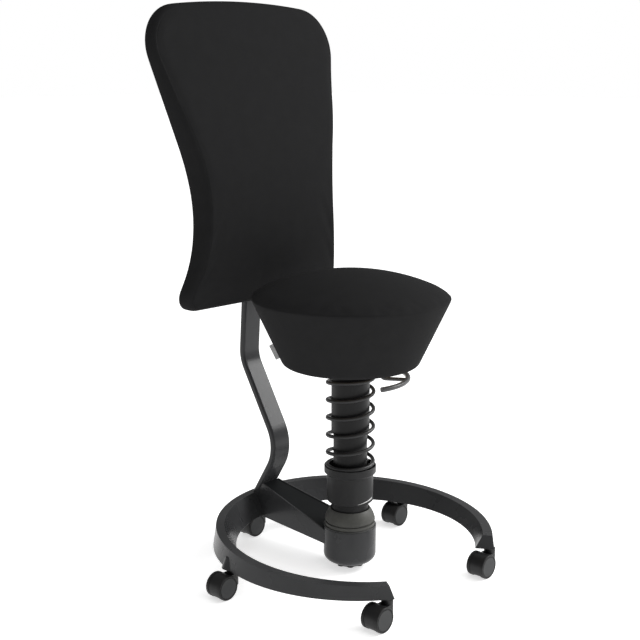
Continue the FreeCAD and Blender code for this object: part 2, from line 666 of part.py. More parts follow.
def spring_height(turns):
    """Height of the wire's middle after so many turns: closed ends and an open middle."""
    closed_low = min(turns, SPRING_END_TURNS)
    opened = min(max(turns - SPRING_END_TURNS, 0), SPRING_ACTIVE_TURNS)
    closed_high = max(turns - SPRING_END_TURNS - SPRING_ACTIVE_TURNS, 0)
    return SPRING_BASE_Z + (closed_low + closed_high) * SPRING_END_PITCH + opened * SPRING_PITCH


def spring_point(turns):
    """Middle of the wire."""
    angle = math.radians(SPRING_START_ANGLE) + 2 * math.pi * turns
    return V(SPRING_R * math.cos(angle), SPRING_R * math.sin(angle), spring_height(turns))


def spring_tangent(turns):
    """Direction of the wire, averaged where the pitch changes."""
    step = 0.02
    angle = math.radians(SPRING_START_ANGLE) + 2 * math.pi * turns
    rise = (spring_height(turns + step) - spring_height(turns - step)) / (2 * step)
    around = 2 * math.pi * SPRING_R
    return V(-around * math.sin(angle), around * math.cos(angle), rise).normalize()


def tangent_arc(start, tangent, length, end):
    """Arc from start to end whose end tangents meet at start + tangent * length."""
    meeting = start + tangent * length
    middle = (start + end) * 0.5
    half = math.acos(min(1.0, start.distanceToPoint(end) / (2 * length)))
    share = math.tan(half / 2) / math.tan(half)
    return Part.Arc(start, middle + (meeting - middle) * share, end).toShape()


def biarc(start, start_tangent, end, end_tangent):
    """Two arcs that leave start and reach end along the given directions."""
    chord = end - start
    both = start_tangent + end_tangent
    bend = 2 * (1 - start_tangent.dot(end_tangent))
    along = chord.dot(both)
    length = (math.sqrt(along * along + bend * chord.dot(chord)) - along) / bend
    joint = (start + start_tangent * length + end - end_tangent * length) * 0.5
    first = tangent_arc(start, start_tangent, length, joint)
    second = tangent_arc(end, end_tangent * -1, length, joint)
    return [first, second]


def coil_spring():
    """Right-handed compression spring, one round wire with a closed turn at each end."""
    total = 2 * SPRING_END_TURNS + SPRING_ACTIVE_TURNS
    quarters = round(4 * total)
    stops = [total * i / quarters for i in range(quarters + 1)]
    edges = []
    for a, b in zip(stops, stops[1:]):
        edges.extend(biarc(spring_point(a), spring_tangent(a), spring_point(b), spring_tangent(b)))
    wire = Part.Wire(Part.__sortEdges__(edges))
    ring = Part.Circle(spring_point(0), spring_tangent(0), SPRING_WIRE / 2).toShape()
    coil = wire.makePipeShell([Part.Wire([ring])], True, False)
    samples = [spring_point(total * i / 700) for i in range(701)]
    apart = math.ceil(0.5 * 700 / total)
    gap = min(p.distanceToPoint(q) for i, p in enumerate(samples) for q in samples[i + apart:]) - SPRING_WIRE
    print("coil_spring: least gap to itself %.2f mm, volume %.0f mm3" % (gap, coil.Volume))
    return coil


def upper_tube():
    """Outer tube under the collar, which slides over the lower tube."""
    return tube(UPPER_TUBE_R, UPPER_TUBE_R - UPPER_TUBE_WALL, UPPER_TUBE_Z, COLLAR_Z)


def guide_bush():
    """Plastic bush in the mouth of the upper tube."""
    return tube(UPPER_TUBE_R - UPPER_TUBE_WALL, LOWER_TUBE_R + RUNNING_FIT,
                UPPER_TUBE_Z, UPPER_TUBE_Z + BUSH_LENGTH)


def spring_collar():
    """Upper spring seat, bored for the gas cylinder."""
    collar = cylinder(COLLAR_R, COLLAR_Z, COLLAR_TOP_Z)
    collar = collar.cut(cylinder(GAS_R + RUNNING_FIT, COLLAR_Z - OVER, FAR))
    outer = [e for e in flat_edges(collar, COLLAR_TOP_Z) if e.Curve.Radius > GAS_R + 1]
    return collar.makeChamfer(COLLAR_CHAMFER, outer)


# Gas lift

def inner_tube():
    """Stand tube under the collar with a floor that holds the piston rod."""
    floor_z = STAND_TUBE_Z + STAND_TUBE_FLOOR
    stand = cylinder(STAND_TUBE_R, STAND_TUBE_Z, COLLAR_Z).cut(cylinder(STAND_TUBE_BORE_R, floor_z, FAR))
    return stand.cut(cylinder(ROD_R + RUNNING_FIT, 0, FAR))


def thrust_washer():
    """Bearing washer under the rod's flange."""
    low = STAND_TUBE_Z + STAND_TUBE_FLOOR + FACE_GAP / 2
    return tube(WASHER_R, ROD_R, low, low + WASHER_T)


def piston_rod():
    """Rod with its flange on the washer and its piston inside the cylinder."""
    flange_z = STAND_TUBE_Z + STAND_TUBE_FLOOR + FACE_GAP / 2 + WASHER_T
    top = STAND_TUBE_Z + ROD_LENGTH
    rod = cylinder(ROD_R, STAND_TUBE_Z, top).fuse(cylinder(ROD_FLANGE_R, flange_z, flange_z + ROD_FLANGE_H))
    return rod.fuse(cylinder(GAS_R - GAS_WALL - RUNNING_FIT, top - PISTON_H, top))


def gas_cylinder():
    """Pressure cylinder, closed above and guided on the rod below."""
    body = cylinder(GAS_R, GAS_Z, GAS_TOP_Z)
    body = body.cut(cylinder(GAS_R - GAS_WALL, GAS_Z + GAS_END, GAS_TOP_Z - 2 * GAS_END))
    body = body.cut(cylinder(ROD_R + RUNNING_FIT, GAS_Z - OVER, GAS_Z + GAS_END + OVER))
    return body.cut(cylinder(VALVE_R + RUNNING_FIT, GAS_TOP_Z - 2 * VALVE_DEPTH, GAS_TOP_Z + OVER))


def valve_pin():
    """Release pin that the lever pushes down."""
    return cylinder(VALVE_R, GAS_TOP_Z - VALVE_DEPTH, VALVE_TOP_Z)


# Seat

def lever_frame(shape):
    """Turn a piece drawn along +X into the lever's direction."""
    shape.rotate(ORIGIN, Z_AXIS, LEVER_ANGLE)
    return shape


def lever_ear_reach():
    """Outer face of each lever ear from the lever's middle plane."""
    return LEVER_ARM_R + LEVER_EAR_GAP + LEVER_EAR_T


def screw_places():
    """Screw positions, clear of the lever on both sides."""
    turn = math.radians(LEVER_ANGLE) + math.pi / SCREW_COUNT
    angles = [turn + 2 * math.pi * i / SCREW_COUNT for i in range(SCREW_COUNT)]
    return [V(SCREW_CIRCLE_R * math.cos(a), SCREW_CIRCLE_R * math.sin(a), 0) for a in angles]


def seat_hub():
    """Casting that grips the gas cylinder and carries the lever's ears."""
    hub = cylinder(HUB_R, HUB_Z, HUB_TOP_Z)
    hub = hub.fuse(cylinder(HUB_FLANGE_R, HUB_TOP_Z - HUB_FLANGE_T, HUB_TOP_Z))
    hub = hub.cut(cylinder(GAS_R, HUB_Z - OVER, HUB_TOP_Z + OVER))
    ear_h = LEVER_Z - HUB_TOP_Z + LEVER_PIN_R + LEVER_EAR_EDGE
    for side in (1, -1):
        near = LEVER_ARM_R + LEVER_EAR_GAP
        y = near if side > 0 else -near - LEVER_EAR_T
        ear = Part.makeBox(LEVER_EAR_LENGTH, LEVER_EAR_T, ear_h,
                           V(LEVER_FULCRUM_R - LEVER_EAR_LENGTH / 2, y, HUB_TOP_Z))
        hub = hub.fuse(lever_frame(ear))
    hub = hub.cut(lever_pin())
    for place in screw_places():
        hub = hub.cut(cylinder(SCREW_R, HUB_Z, HUB_TOP_Z + OVER, place.x, place.y))
    return hub.removeSplitter()


def lever_pin():
    """Pin across the hub's ears."""
    reach = lever_ear_reach()
    pin = Part.makeCylinder(LEVER_PIN_R, 2 * reach, V(LEVER_FULCRUM_R, -reach, LEVER_Z), Y_AXIS)
    return lever_frame(pin)


def seat_plate():
    """Plywood disc on the hub, slotted for the lever."""
    plate = cylinder(PLATE_R, HUB_TOP_Z, PLATE_TOP_Z)
    half = lever_ear_reach() + FACE_GAP
    start = -GAS_R - LEVER_TAIL
    slot_length = LEVER_FOOT_R - start
    slot = Part.makeBox(slot_length, 2 * half, 2 * PLATE_T, V(start, -half, HUB_TOP_Z - PLATE_T / 2))
    plate = plate.cut(lever_frame(slot))
    for place in screw_places():
        plate = plate.cut(cylinder(SCREW_R, HUB_TOP_Z - OVER, screw_top_z(), place.x, place.y))
    return plate


def screw_top_z():
    """Point of the seat screws."""
    return HUB_TOP_Z - HUB_FLANGE_T + SCREW_REACH


def seat_screws():
    """Screws that hold the hub's flange to the plate."""
    head_z = HUB_TOP_Z - HUB_FLANGE_T
    screws = []
    for place in screw_places():
        head = cylinder(SCREW_HEAD_R, head_z - SCREW_HEAD_H, head_z, place.x, place.y)
        screws.append(head.fuse(cylinder(SCREW_R, head_z, screw_top_z(), place.x, place.y)))
    return Part.makeCompound(screws)


def seat_cushion():
    """Foam and cover: an inverted cone with a domed top, hollow below for the plate."""
    rim_z = SEAT_Z + SEAT_HEIGHT
    recess_r = PLATE_R + FACE_GAP
    crown_r = (SEAT_RIM_R ** 2 + SEAT_CROWN ** 2) / (2 * SEAT_CROWN)
    half = math.asin(SEAT_RIM_R / crown_r) / 2
    on_dome = V(crown_r * math.sin(half), 0, rim_z + SEAT_CROWN - crown_r * (1 - math.cos(half)))
    cushion = turned(
        V(0, 0, PLATE_TOP_Z), V(recess_r, 0, PLATE_TOP_Z),
        V(recess_r, 0, SEAT_Z), V(SEAT_BOTTOM_R, 0, SEAT_Z),
        V(SEAT_RIM_R, 0, rim_z), (on_dome, V(0, 0, rim_z + SEAT_CROWN)))
    lower = [e for e in flat_edges(cushion, SEAT_Z) if e.Curve.Radius > recess_r + 1]
    cushion = cushion.makeFillet(SEAT_BOTTOM_EDGE_R, lower)
    return cushion.makeFillet(SEAT_RIM_EDGE_R, flat_edges(cushion, rim_z))


def release_lever():
    """Bent rod from the valve to an arc-shaped bar that follows the seat's edge."""
    route = rounded_path(
        [V(-LEVER_TAIL, 0, LEVER_Z), V(LEVER_KNEE_R, 0, LEVER_Z),
         V(LEVER_FOOT_R, 0, LEVER_BAR_Z), V(LEVER_BAR_CIRCLE_R, 0, LEVER_BAR_Z)],
        [LEVER_BEND_R, LEVER_BEND_R])
    ring = Part.Circle(V(-LEVER_TAIL, 0, LEVER_Z), X_AXIS, LEVER_ARM_R).toShape()
    arm = route.makePipeShell([Part.Wire([ring])], True, False)
    section = Part.Circle(V(LEVER_BAR_CIRCLE_R, 0, LEVER_BAR_Z), Y_AXIS, LEVER_BAR_R).toShape()
    bar = Part.Face(Part.Wire([section])).revolve(ORIGIN, Z_AXIS, 2 * LEVER_BAR_HALF_ANGLE)
    bar.rotate(ORIGIN, Z_AXIS, -LEVER_BAR_HALF_ANGLE)
    lever = lever_frame(arm.fuse(bar))
    turn = Part.makeCylinder(LEVER_PIN_R + RUNNING_FIT, 4 * LEVER_ARM_R,
                             V(LEVER_FULCRUM_R, -2 * LEVER_ARM_R, LEVER_Z), Y_AXIS)
    return lever.cut(lever_frame(turn))


# Backrest

def back_profile(x, crown, front_shift, rear_shift):
    """Side view of the back at one x: front and rear curves from the lower to the top edge."""
    low = PAD_BOTTOM_Z - PAD_BOTTOM_CORNER_R
    high = PAD_TOP_Z + PAD_TOP_CORNER_R
    front_y = LUMBAR_Y - crown + front_shift
    bend_z = LUMBAR_Z + FRONT_HIGH_SPAN
    bend = math.asin(FRONT_HIGH_SPAN / FRONT_HIGH_R)
    bend_y = front_y + FRONT_HIGH_R * (1 - math.cos(bend))

    def front_low(z):
        return V(x, front_y + FRONT_LOW_R - math.sqrt(FRONT_LOW_R ** 2 - (LUMBAR_Z - z) ** 2), z)

    def front_high(z):
        return V(x, front_y + FRONT_HIGH_R - math.sqrt(FRONT_HIGH_R ** 2 - (z - LUMBAR_Z) ** 2), z)

    def front_top(z):
        lean = math.asin(math.sin(bend) - (z - bend_z) / FRONT_TOP_R)
        return V(x, bend_y + FRONT_TOP_R * (math.cos(lean) - math.cos(bend)), z)

    rear_y = LUMBAR_Y + LUMBAR_T + rear_shift
    rear_z = LUMBAR_Z - REAR_DROP
    rear_bend = math.asin(REAR_HIGH_SPAN / REAR_HIGH_R)

    def rear_low(z):
        return V(x, rear_y + REAR_LOW_R - math.sqrt(REAR_LOW_R ** 2 - (rear_z - z) ** 2), z)

    def rear_high(z):
        return V(x, rear_y + REAR_HIGH_R - math.sqrt(REAR_HIGH_R ** 2 - (z - rear_z) ** 2), z)

    rear_bend_z = rear_z + REAR_HIGH_SPAN
    rear_top = rear_high(rear_bend_z) + V(0, math.tan(rear_bend), 1) * (high - rear_bend_z)
    return closed_wire(
        front_low(low), (front_low((low + LUMBAR_Z) / 2), front_low(LUMBAR_Z)),
        (front_high((LUMBAR_Z + bend_z) / 2), front_high(bend_z)),
        (front_top((bend_z + high) / 2), front_top(high)),
        rear_top, rear_high(rear_bend_z),
        (rear_high((rear_z + rear_bend_z) / 2), rear_high(rear_z)),
        (rear_low((rear_z + low) / 2), rear_low(low)))


def back_slab(crown, front_shift, rear_shift):
    """The back's curved slab, wider than the back, crowned across its middle."""
    half = 1.3 * PAD_WAIST_HALF + PAD_TOP_CORNER_R
    sections = [back_profile(x, c, front_shift, rear_shift) for x, c in ((-half, 0), (0, crown), (half, 0))]
    return Part.makeLoft(sections, True, False)


def back_outline(inset):
    """Waisted front view of the back, as a deep prism with rounded corners."""
    y = LUMBAR_Y - FAR / 4
    waist_z = LUMBAR_Z + PAD_WAIST_RISE
    centre_x = PAD_WAIST_HALF + PAD_WAIST_R
    waist_r = PAD_WAIST_R + inset
    low_z = PAD_BOTTOM_Z + inset
    flare = math.radians(PAD_FLARE)
    low = V(centre_x - math.sqrt(waist_r ** 2 - (waist_z - low_z) ** 2), y, low_z)
    waist = V(centre_x - waist_r, y, waist_z)
    shoulder = V(centre_x - waist_r * math.cos(flare), y, waist_z + waist_r * math.sin(flare))
    # The straight side runs on until it meets the gently arched top edge.
    top_r = PAD_TOP_R - inset
    top_centre = V(0, y, PAD_TOP_Z - PAD_TOP_R)
    along = V(math.sin(flare), 0, math.cos(flare))
    offset = shoulder - top_centre
    reach = math.sqrt(offset.dot(along) ** 2 - offset.dot(offset) + top_r ** 2) - offset.dot(along)
    corner = shoulder + along * reach

    def other(p):
        return V(-p.x, p.y, p.z)

    outline = closed_wire(
        low, (waist, shoulder), corner, (V(0, y, PAD_TOP_Z - inset), other(corner)), other(shoulder),
        (other(waist), other(low)))
    prism = Part.Face(outline).extrude(V(0, FAR / 2, 0))

    def edges_at(point):
        places = (point, other(point))
        return [e for e in prism.Edges if any(e.isInside(p + V(0, FAR / 4, 0), 1e-3, False) for p in places)]

    prism = prism.makeFillet(PAD_TOP_CORNER_R - inset, edges_at(corner))
    return prism.makeFillet(PAD_BOTTOM_CORNER_R - inset, edges_at(low))


def rim_edges(shape, slab_face_side):
    """Edges of the outline on the front (-1) or the rear (+1) of the back."""
    chosen = []
    for edge in shape.Edges:
        faces = shape.ancestorsOfType(edge, Part.Face)
        sides = [facing(f) for f in faces]
        if slab_face_side in sides and 0 in sides:
            chosen.append(edge)
    return chosen


def facing(face):
    """-1 for a face that looks forward, +1 backward, 0 for the narrow sides."""
    u0, u1, v0, v1 = face.ParameterRange
    normal = face.normalAt((u0 + u1) / 2, (v0 + v1) / 2)
    if abs(normal.y) < 0.7:
        return 0
    return 1 if normal.y > 0 else -1


def straight_post(growth):
    """The post's upper run grown all round, from well below the back to its own top."""
    section = post_section(growth)
    start = POST_HIGH
    section.rotate(ORIGIN, X_AXIS, POST_TOP_LEAN)
    section.translate(start)
    return Part.Face(section).extrude(POST_TOP_UP * (POST_TOP_LENGTH + growth))


def back_shell_form():
    """Rear shell before it is grooved for the post."""
    rear = back_slab(0, 0, -SHELL_SUNK)
    return back_slab(0, 0, SHELL_PROUD).cut(rear).common(back_outline(SHELL_INSET))


def backrest_shell():
    """Rigid rear shell set into the pad."""
    return back_shell_form().cut(straight_post(GROOVE_GAP))


def backrest_pad():
    """Upholstered pad: crowned in front, rounded all round its edge, cut out for the shell."""
    pad = back_slab(PAD_CROWN, 0, 0).common(back_outline(0))
    pad = pad.makeFillet(PAD_FRONT_EDGE_R, rim_edges(pad, -1))
    pad = pad.makeFillet(PAD_REAR_EDGE_R, rim_edges(pad, 1))
    return pad.cut(back_shell_form()).cut(straight_post(GROOVE_GAP))


def on_upper_post(shape):
    """Move a piece drawn along +Z at the origin onto the post's upper run, at the bracket."""
    shape.rotate(ORIGIN, X_AXIS, POST_TOP_LEAN)
    shape.translate(POST_HIGH + POST_TOP_UP * BRACKET_ALONG)
    return shape


def backrest_bracket():
    """Sleeve on the rear of the shell, which slides on the post."""
    depth = POST_DEPTH + 2 * BRACKET_WALL
    front = POST_DEPTH / 2 + 4 * BRACKET_WALL
    block = Part.makeBox(BRACKET_WIDTH, depth / 2 + front, BRACKET_LENGTH, V(-BRACKET_WIDTH / 2, -front, 0))
    rear_edges = [e for e in block.Edges if e.BoundBox.YMin > depth / 2 - 1e-3]
    block = block.makeFillet(BRACKET_EDGE_R, rear_edges)
    middle = BRACKET_LENGTH / 2
    block = block.cut(Part.makeCylinder(CLAMP_SCREW_R + RUNNING_FIT, depth, V(0, 0, middle), Y_AXIS))
    block = on_upper_post(block).cut(straight_post(BRACKET_FIT))
    return block.cut(back_slab(0, -FAR / 8, SHELL_PROUD))


def clamp_knob():
    """Star knob with its screw, which presses on the post through the sleeve."""
    knob = lobed_disc(CLAMP_KNOB_R, CLAMP_LOBE_R, CLAMP_LOBES, CLAMP_KNOB_H)
    knob = knob.makeFillet(CLAMP_EDGE_R, flat_edges(knob, CLAMP_KNOB_H))
    tip = BRACKET_WALL + CLAMP_KNOB_GAP - FACE_GAP
    knob = knob.fuse(cylinder(CLAMP_SCREW_R, -tip, 1))
    knob.rotate(ORIGIN, X_AXIS, -90)
    knob.translate(V(0, POST_DEPTH / 2 + BRACKET_WALL + CLAMP_KNOB_GAP, BRACKET_LENGTH / 2))
    return on_upper_post(knob)


# Castors, drawn with the stem on the Z axis, the wheels trailing towards -X

WHEEL_INNER_Y = HOOD_WIDTH / 2 + FACE_GAP


def castor_axle_cylinder(radius, low_y, high_y):
    """Cylinder on the wheels' axis."""
    return Part.makeCylinder(radius, high_y - low_y, V(-CASTOR_TRAIL, low_y, WHEEL_R), Y_AXIS)


def castor_hood():
    """Hood between the wheels with the stem's housing and collar."""
    half = HOOD_WIDTH / 2
    hood = castor_axle_cylinder(WHEEL_R - 2 * FACE_GAP, -half, half)
    hood = hood.common(cylinder(FAR, HOOD_SKIRT_Z, FAR))
    top = 2 * WHEEL_R + CASTOR_HEADROOM
    corner = V(-CASTOR_TRAIL, -half, HOOD_NOSE_Z)
    bridge = Part.makeBox(CASTOR_TRAIL + HOOD_NOSE, HOOD_WIDTH, WHEEL_R, corner)
    hood = hood.fuse(bridge).fuse(cylinder(half, HOOD_NOSE_Z, top, HOOD_NOSE))
    hood = hood.fuse(cylinder(CASTOR_COLLAR_R, top, RING_BOTTOM_Z - FACE_GAP))
    hood = hood.cut(castor_axle_cylinder(CASTOR_AXLE_R, -half - OVER, half + OVER))
    return hood.cut(castor_stem()).removeSplitter()


def castor_stem():
    """Steel pin from the hood into the ring's socket."""
    return cylinder(CASTOR_STEM_R, WHEEL_R + CASTOR_STEM_R, RING_BOTTOM_Z + CASTOR_STEM_GRIP - FACE_GAP)


def castor_axle():
    """Steel axle through the hood."""
    reach = WHEEL_INNER_Y + CASTOR_AXLE_GRIP
    return castor_axle_cylinder(CASTOR_AXLE_R, -reach, reach)


def castor_wheel(side):
    """Wheel with a rounded tread edge and a ring groove in its outer face."""
    outer_y = WHEEL_INNER_Y + WHEEL_WIDTH
    wheel = castor_axle_cylinder(WHEEL_R, WHEEL_INNER_Y, outer_y)
    rims = [e for e in wheel.Edges if e.BoundBox.YMin > outer_y - 1e-3]
    wheel = wheel.makeFillet(WHEEL_EDGE_R, rims)
    groove = castor_axle_cylinder(WHEEL_GROOVE_R, outer_y - WHEEL_GROOVE_DEPTH, outer_y + OVER)
    core = castor_axle_cylinder(WHEEL_GROOVE_R - WHEEL_GROOVE_WIDTH, WHEEL_INNER_Y, outer_y + 2 * OVER)
    wheel = wheel.cut(groove.cut(core))
    bore_end = WHEEL_INNER_Y + CASTOR_AXLE_GRIP + FACE_GAP
    wheel = wheel.cut(castor_axle_cylinder(CASTOR_AXLE_R + RUNNING_FIT, 0, bore_end))
    return wheel if side > 0 else wheel.mirror(ORIGIN, Y_AXIS)


def castor_pieces():
    """The five castors, each set under its socket."""
    pieces = {}
    for name, angle in CASTOR_ANGLES.items():
        made = {"hood": castor_hood(), "stem": castor_stem(), "axle": castor_axle(),
                "wheel_a": castor_wheel(1), "wheel_b": castor_wheel(-1)}
        for piece, shape in made.items():
            shape.translate(castor_place(angle))
            pieces["castor_%s_%s" % (name, piece)] = shape
    return pieces


PIECES = {
    "base_ring": base_ring(), "support_arm": support_arm(), "arm_insert": arm_insert(),
    "base_cup": base_cup(), "retaining_ring": retaining_ring(), "buffer_ring": buffer_ring(),
    "tilt_bracket": tilt_bracket(), "pivot_cross": pivot_cross(),
    "stiffness_knob": stiffness_knob(), "knob_spindle": knob_spindle(),
    "column_stem": column_stem(), "dome_boot": dome_boot(), "lower_tube": lower_tube(),
    "spring_cup": spring_cup(), "coil_spring": coil_spring(),
    "upper_tube": upper_tube(), "guide_bush": guide_bush(), "spring_collar": spring_collar(),
    "inner_tube": inner_tube(), "thrust_washer": thrust_washer(), "piston_rod": piston_rod(),
    "gas_cylinder": gas_cylinder(), "valve_pin": valve_pin(),
    "seat_hub": seat_hub(), "lever_pin": lever_pin(), "seat_plate": seat_plate(),
    "seat_screws": seat_screws(), "seat_cushion": seat_cushion(), "release_lever": release_lever(),
    "backrest_post": backrest_post(), "backrest_pad": backrest_pad(), "backrest_shell": backrest_shell(),
    "backrest_bracket": backrest_bracket(), "clamp_knob": clamp_knob(),
}
PIECES.update(castor_pieces())

os.makedirs("parts", exist_ok=True)
for node, shape in PIECES.items():
    shape.exportStep("parts/%s.step" % node)
    if not shape.isValid():
        print("not valid:", node)
    print("%-26s solids %d  volume %.0f mm3" % (node, len(shape.Solids), shape.Volume))
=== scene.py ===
# Wobble stool with backrest: a sprung, tilting column on a castor ring, with an upholstered seat and back.
import math

import bpy
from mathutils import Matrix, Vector


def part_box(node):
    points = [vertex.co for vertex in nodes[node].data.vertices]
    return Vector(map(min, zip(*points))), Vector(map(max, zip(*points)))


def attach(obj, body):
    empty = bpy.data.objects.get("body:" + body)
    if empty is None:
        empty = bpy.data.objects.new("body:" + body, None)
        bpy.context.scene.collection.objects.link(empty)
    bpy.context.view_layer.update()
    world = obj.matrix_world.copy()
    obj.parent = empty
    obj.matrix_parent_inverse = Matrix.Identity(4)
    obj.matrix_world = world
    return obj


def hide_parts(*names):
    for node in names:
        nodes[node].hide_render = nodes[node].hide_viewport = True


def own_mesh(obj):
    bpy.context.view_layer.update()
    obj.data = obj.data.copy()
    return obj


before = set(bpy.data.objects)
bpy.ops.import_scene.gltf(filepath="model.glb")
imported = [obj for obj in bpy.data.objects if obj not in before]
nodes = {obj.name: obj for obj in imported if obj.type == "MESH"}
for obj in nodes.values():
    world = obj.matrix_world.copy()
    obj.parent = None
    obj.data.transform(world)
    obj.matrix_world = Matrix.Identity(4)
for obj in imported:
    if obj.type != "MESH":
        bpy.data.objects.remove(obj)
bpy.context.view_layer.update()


# Studio
# A white shooting table, lit a little from below, in a white room that is darker on the left. A wide light
# hangs above and a softbox stands on the right. The camera looks at the stool's front and right hand side.

def finish(name, colour, roughness, **sockets):
    """New material with the values of its shader that are the same all over."""
    material = bpy.data.materials.new(name)
    material.use_nodes = True
    shader = material.node_tree.nodes["Principled BSDF"]
    shader.inputs["Base Color"].default_value = (*colour, 1)
    shader.inputs["Roughness"].default_value = roughness
    for socket, value in sockets.items():
        shader.inputs[socket.replace("_", " ")].default_value = value
    return material


def add(material, kind, inputs=None, **settings):
    """New node in a material; an input is a value or another node's output."""
    made = material.node_tree.nodes.new("ShaderNode" + kind)
    for key, value in settings.items():
        setattr(made, key, value)
    for socket, value in (inputs or {}).items():
        if isinstance(value, bpy.types.NodeSocket):
            material.node_tree.links.new(value, made.inputs[socket])
        else:
            made.inputs[socket].default_value = value
    return made


def feed(material, socket, output):
    """Join a node's output to the material's shader."""
    shader = material.node_tree.nodes["Principled BSDF"]
    material.node_tree.links.new(output, shader.inputs[socket])


def shades(material, factor, *stops):
    """Colours along a factor, each stop a position and a colour."""
    ramp = add(material, "ValToRGB", {"Fac": factor})
    ramp.color_ramp.elements[0].position = stops[0][0]
    ramp.color_ramp.elements[0].color = (*stops[0][1], 1)
    ramp.color_ramp.elements[1].position = stops[-1][0]
    ramp.color_ramp.elements[1].color = (*stops[-1][1], 1)
    for position, colour in stops[1:-1]:
        ramp.color_ramp.elements.new(position).color = (*colour, 1)
    return ramp.outputs["Color"]


scene = bpy.context.scene
scene.view_settings.view_transform = "Standard"

bpy.ops.object.select_all(action="DESELECT")
bpy.ops.mesh.primitive_plane_add(size=60, location=(0, 0, 0))
floor = bpy.context.object
floor.name = "floor"
table = finish("white_table", (0.93, 0.93, 0.93), 0.7, Specular_IOR_Level=0.1,
               Emission_Color=(1, 1, 1, 1), Emission_Strength=0.6)
table_place = add(table, "TexCoord").outputs["Object"]
table_cloud = add(table, "TexNoise", {"Vector": table_place, "Scale": 1.5, "Detail": 2}).outputs["Fac"]
table_low, table_high = (0.925, 0.925, 0.925), (0.935, 0.935, 0.935)
feed(table, "Base Color", shades(table, table_cloud, (0.3, table_low), (0.7, table_high)))
floor.data.materials.append(table)

bright_side = (0.68, -0.73, 0)
room_dark, room_bright = 0.3, 0.7
scene.world = bpy.data.worlds.new("white_room")
scene.world.use_nodes = True
room = scene.world.node_tree
room_light = room.nodes["Background"]
room_light.inputs["Color"].default_value = (1, 1, 1, 1)
room_way = room.nodes.new("ShaderNodeTexCoord")
room_side = room.nodes.new("ShaderNodeVectorMath")
room_side.operation = "DOT_PRODUCT"
room_side.inputs[1].default_value = bright_side
room_wall = room.nodes.new("ShaderNodeMapRange")
room_wall.inputs["From Min"].default_value = -0.1
room_wall.inputs["To Min"].default_value = room_dark
room_wall.inputs["To Max"].default_value = room_bright
room_path = room.nodes.new("ShaderNodeLightPath")
room_strength = room.nodes.new("ShaderNodeMix")
room_strength.inputs["B"].default_value = 1.0
room.links.new(room_way.outputs["Generated"], room_side.inputs[0])
room.links.new(room_side.outputs["Value"], room_wall.inputs["Value"])
room.links.new(room_path.outputs["Is Camera Ray"], room_strength.inputs["Factor"])
room.links.new(room_wall.outputs["Result"], room_strength.inputs["A"])
room.links.new(room_strength.outputs["Result"], room_light.inputs["Strength"])


def soft_box(name, place, aim, size, power):
    """Square softbox that points at a spot."""
    lamp = bpy.data.lights.new(name, "AREA")
    lamp.size = size
    lamp.energy = power
    stand = bpy.data.objects.new(name, lamp)
    stand.location = place
    stand.rotation_euler = (Vector(aim) - Vector(place)).to_track_quat("-Z", "Y").to_euler()
    scene.collection.objects.link(stand)


soft_box("right_light", (2.15, -1.2, 1.85), (0, 0.1, 0.4), 1.3, 62)
top_lamp = bpy.data.lights.new("top_light", "SUN")
top_lamp.energy = 1.0
top_lamp.angle = math.radians(70)
top_stand = bpy.data.objects.new("top_light", top_lamp)
top_stand.rotation_euler = (math.radians(12), math.radians(14), 0)
scene.collection.objects.link(top_stand)

camera = bpy.data.cameras.new("camera")
camera.lens = 67.83
camera.sensor_width = 36
camera_stand = bpy.data.objects.new("camera", camera)
camera_stand.location = (-1.7900, -1.5787, 1.0369)
camera_stand.rotation_euler = (math.radians(77.9536), 0, math.radians(-47.0868))
scene.collection.objects.link(camera_stand)
scene.camera = camera_stand


# Castors
# Five twin-wheel furniture castors. The hood is moulded in black nylon, the wheels in a softer black with a
# grey cover disc inside a ring groove, with painted shade in the groove. Each hood turns on a steel stem
# pressed into the ring, the wheels on a steel axle.

def span(material, value, low, high):
    """Stretch a value from 0 to 1 over another span."""
    ranged = add(material, "MapRange", {"Value": value, "To Min": low, "To Max": high})
    return ranged.outputs["Result"]


def math_node(material, operation, a, b=0.0, c=0.0):
    """One sum on values or outputs."""
    return add(material, "Math", {0: a, 1: b, 2: c}, operation=operation).outputs[0]


def dress(material, *names):
    """Give CAD nodes a finish."""
    for name in names:
        nodes[name].material_slots[0].material = material


def object_place(material, centre=(0, 0, 0)):
    """Object coordinates, counted from a centre."""
    place = add(material, "TexCoord").outputs["Object"]
    shift = [-c for c in centre]
    return add(material, "Mapping", {"Vector": place, "Location": shift}).outputs["Vector"]


def bumps(material, height, strength, distance, before=None):
    """Relief from a height, on top of earlier relief."""
    inputs = {"Height": height, "Strength": strength, "Distance": distance}
    if before is not None:
        inputs["Normal"] = before
    return add(material, "Bump", inputs).outputs["Normal"]


def moulded_plastic(name, colour, roughness, grain=900.0, relief=0.12, gloss=0.4):
    """Spark-eroded plastic: fine even grain, faint flow clouds and slightly uneven gloss."""
    material = finish(name, colour, roughness, Specular_IOR_Level=gloss)
    place = object_place(material)
    cloud = add(material, "TexNoise", {"Vector": place, "Scale": 22, "Detail": 3}).outputs["Fac"]
    low = [c * 0.86 for c in colour]
    high = [c * 1.16 for c in colour]
    feed(material, "Base Color", shades(material, cloud, (0.3, low), (0.7, high)))
    fine = add(material, "TexNoise", {"Vector": place, "Scale": grain, "Detail": 2}).outputs["Fac"]
    feed(material, "Roughness", span(material, fine, roughness - 0.06, roughness + 0.08))
    feed(material, "Normal", bumps(material, fine, relief, 0.0004))
    return material


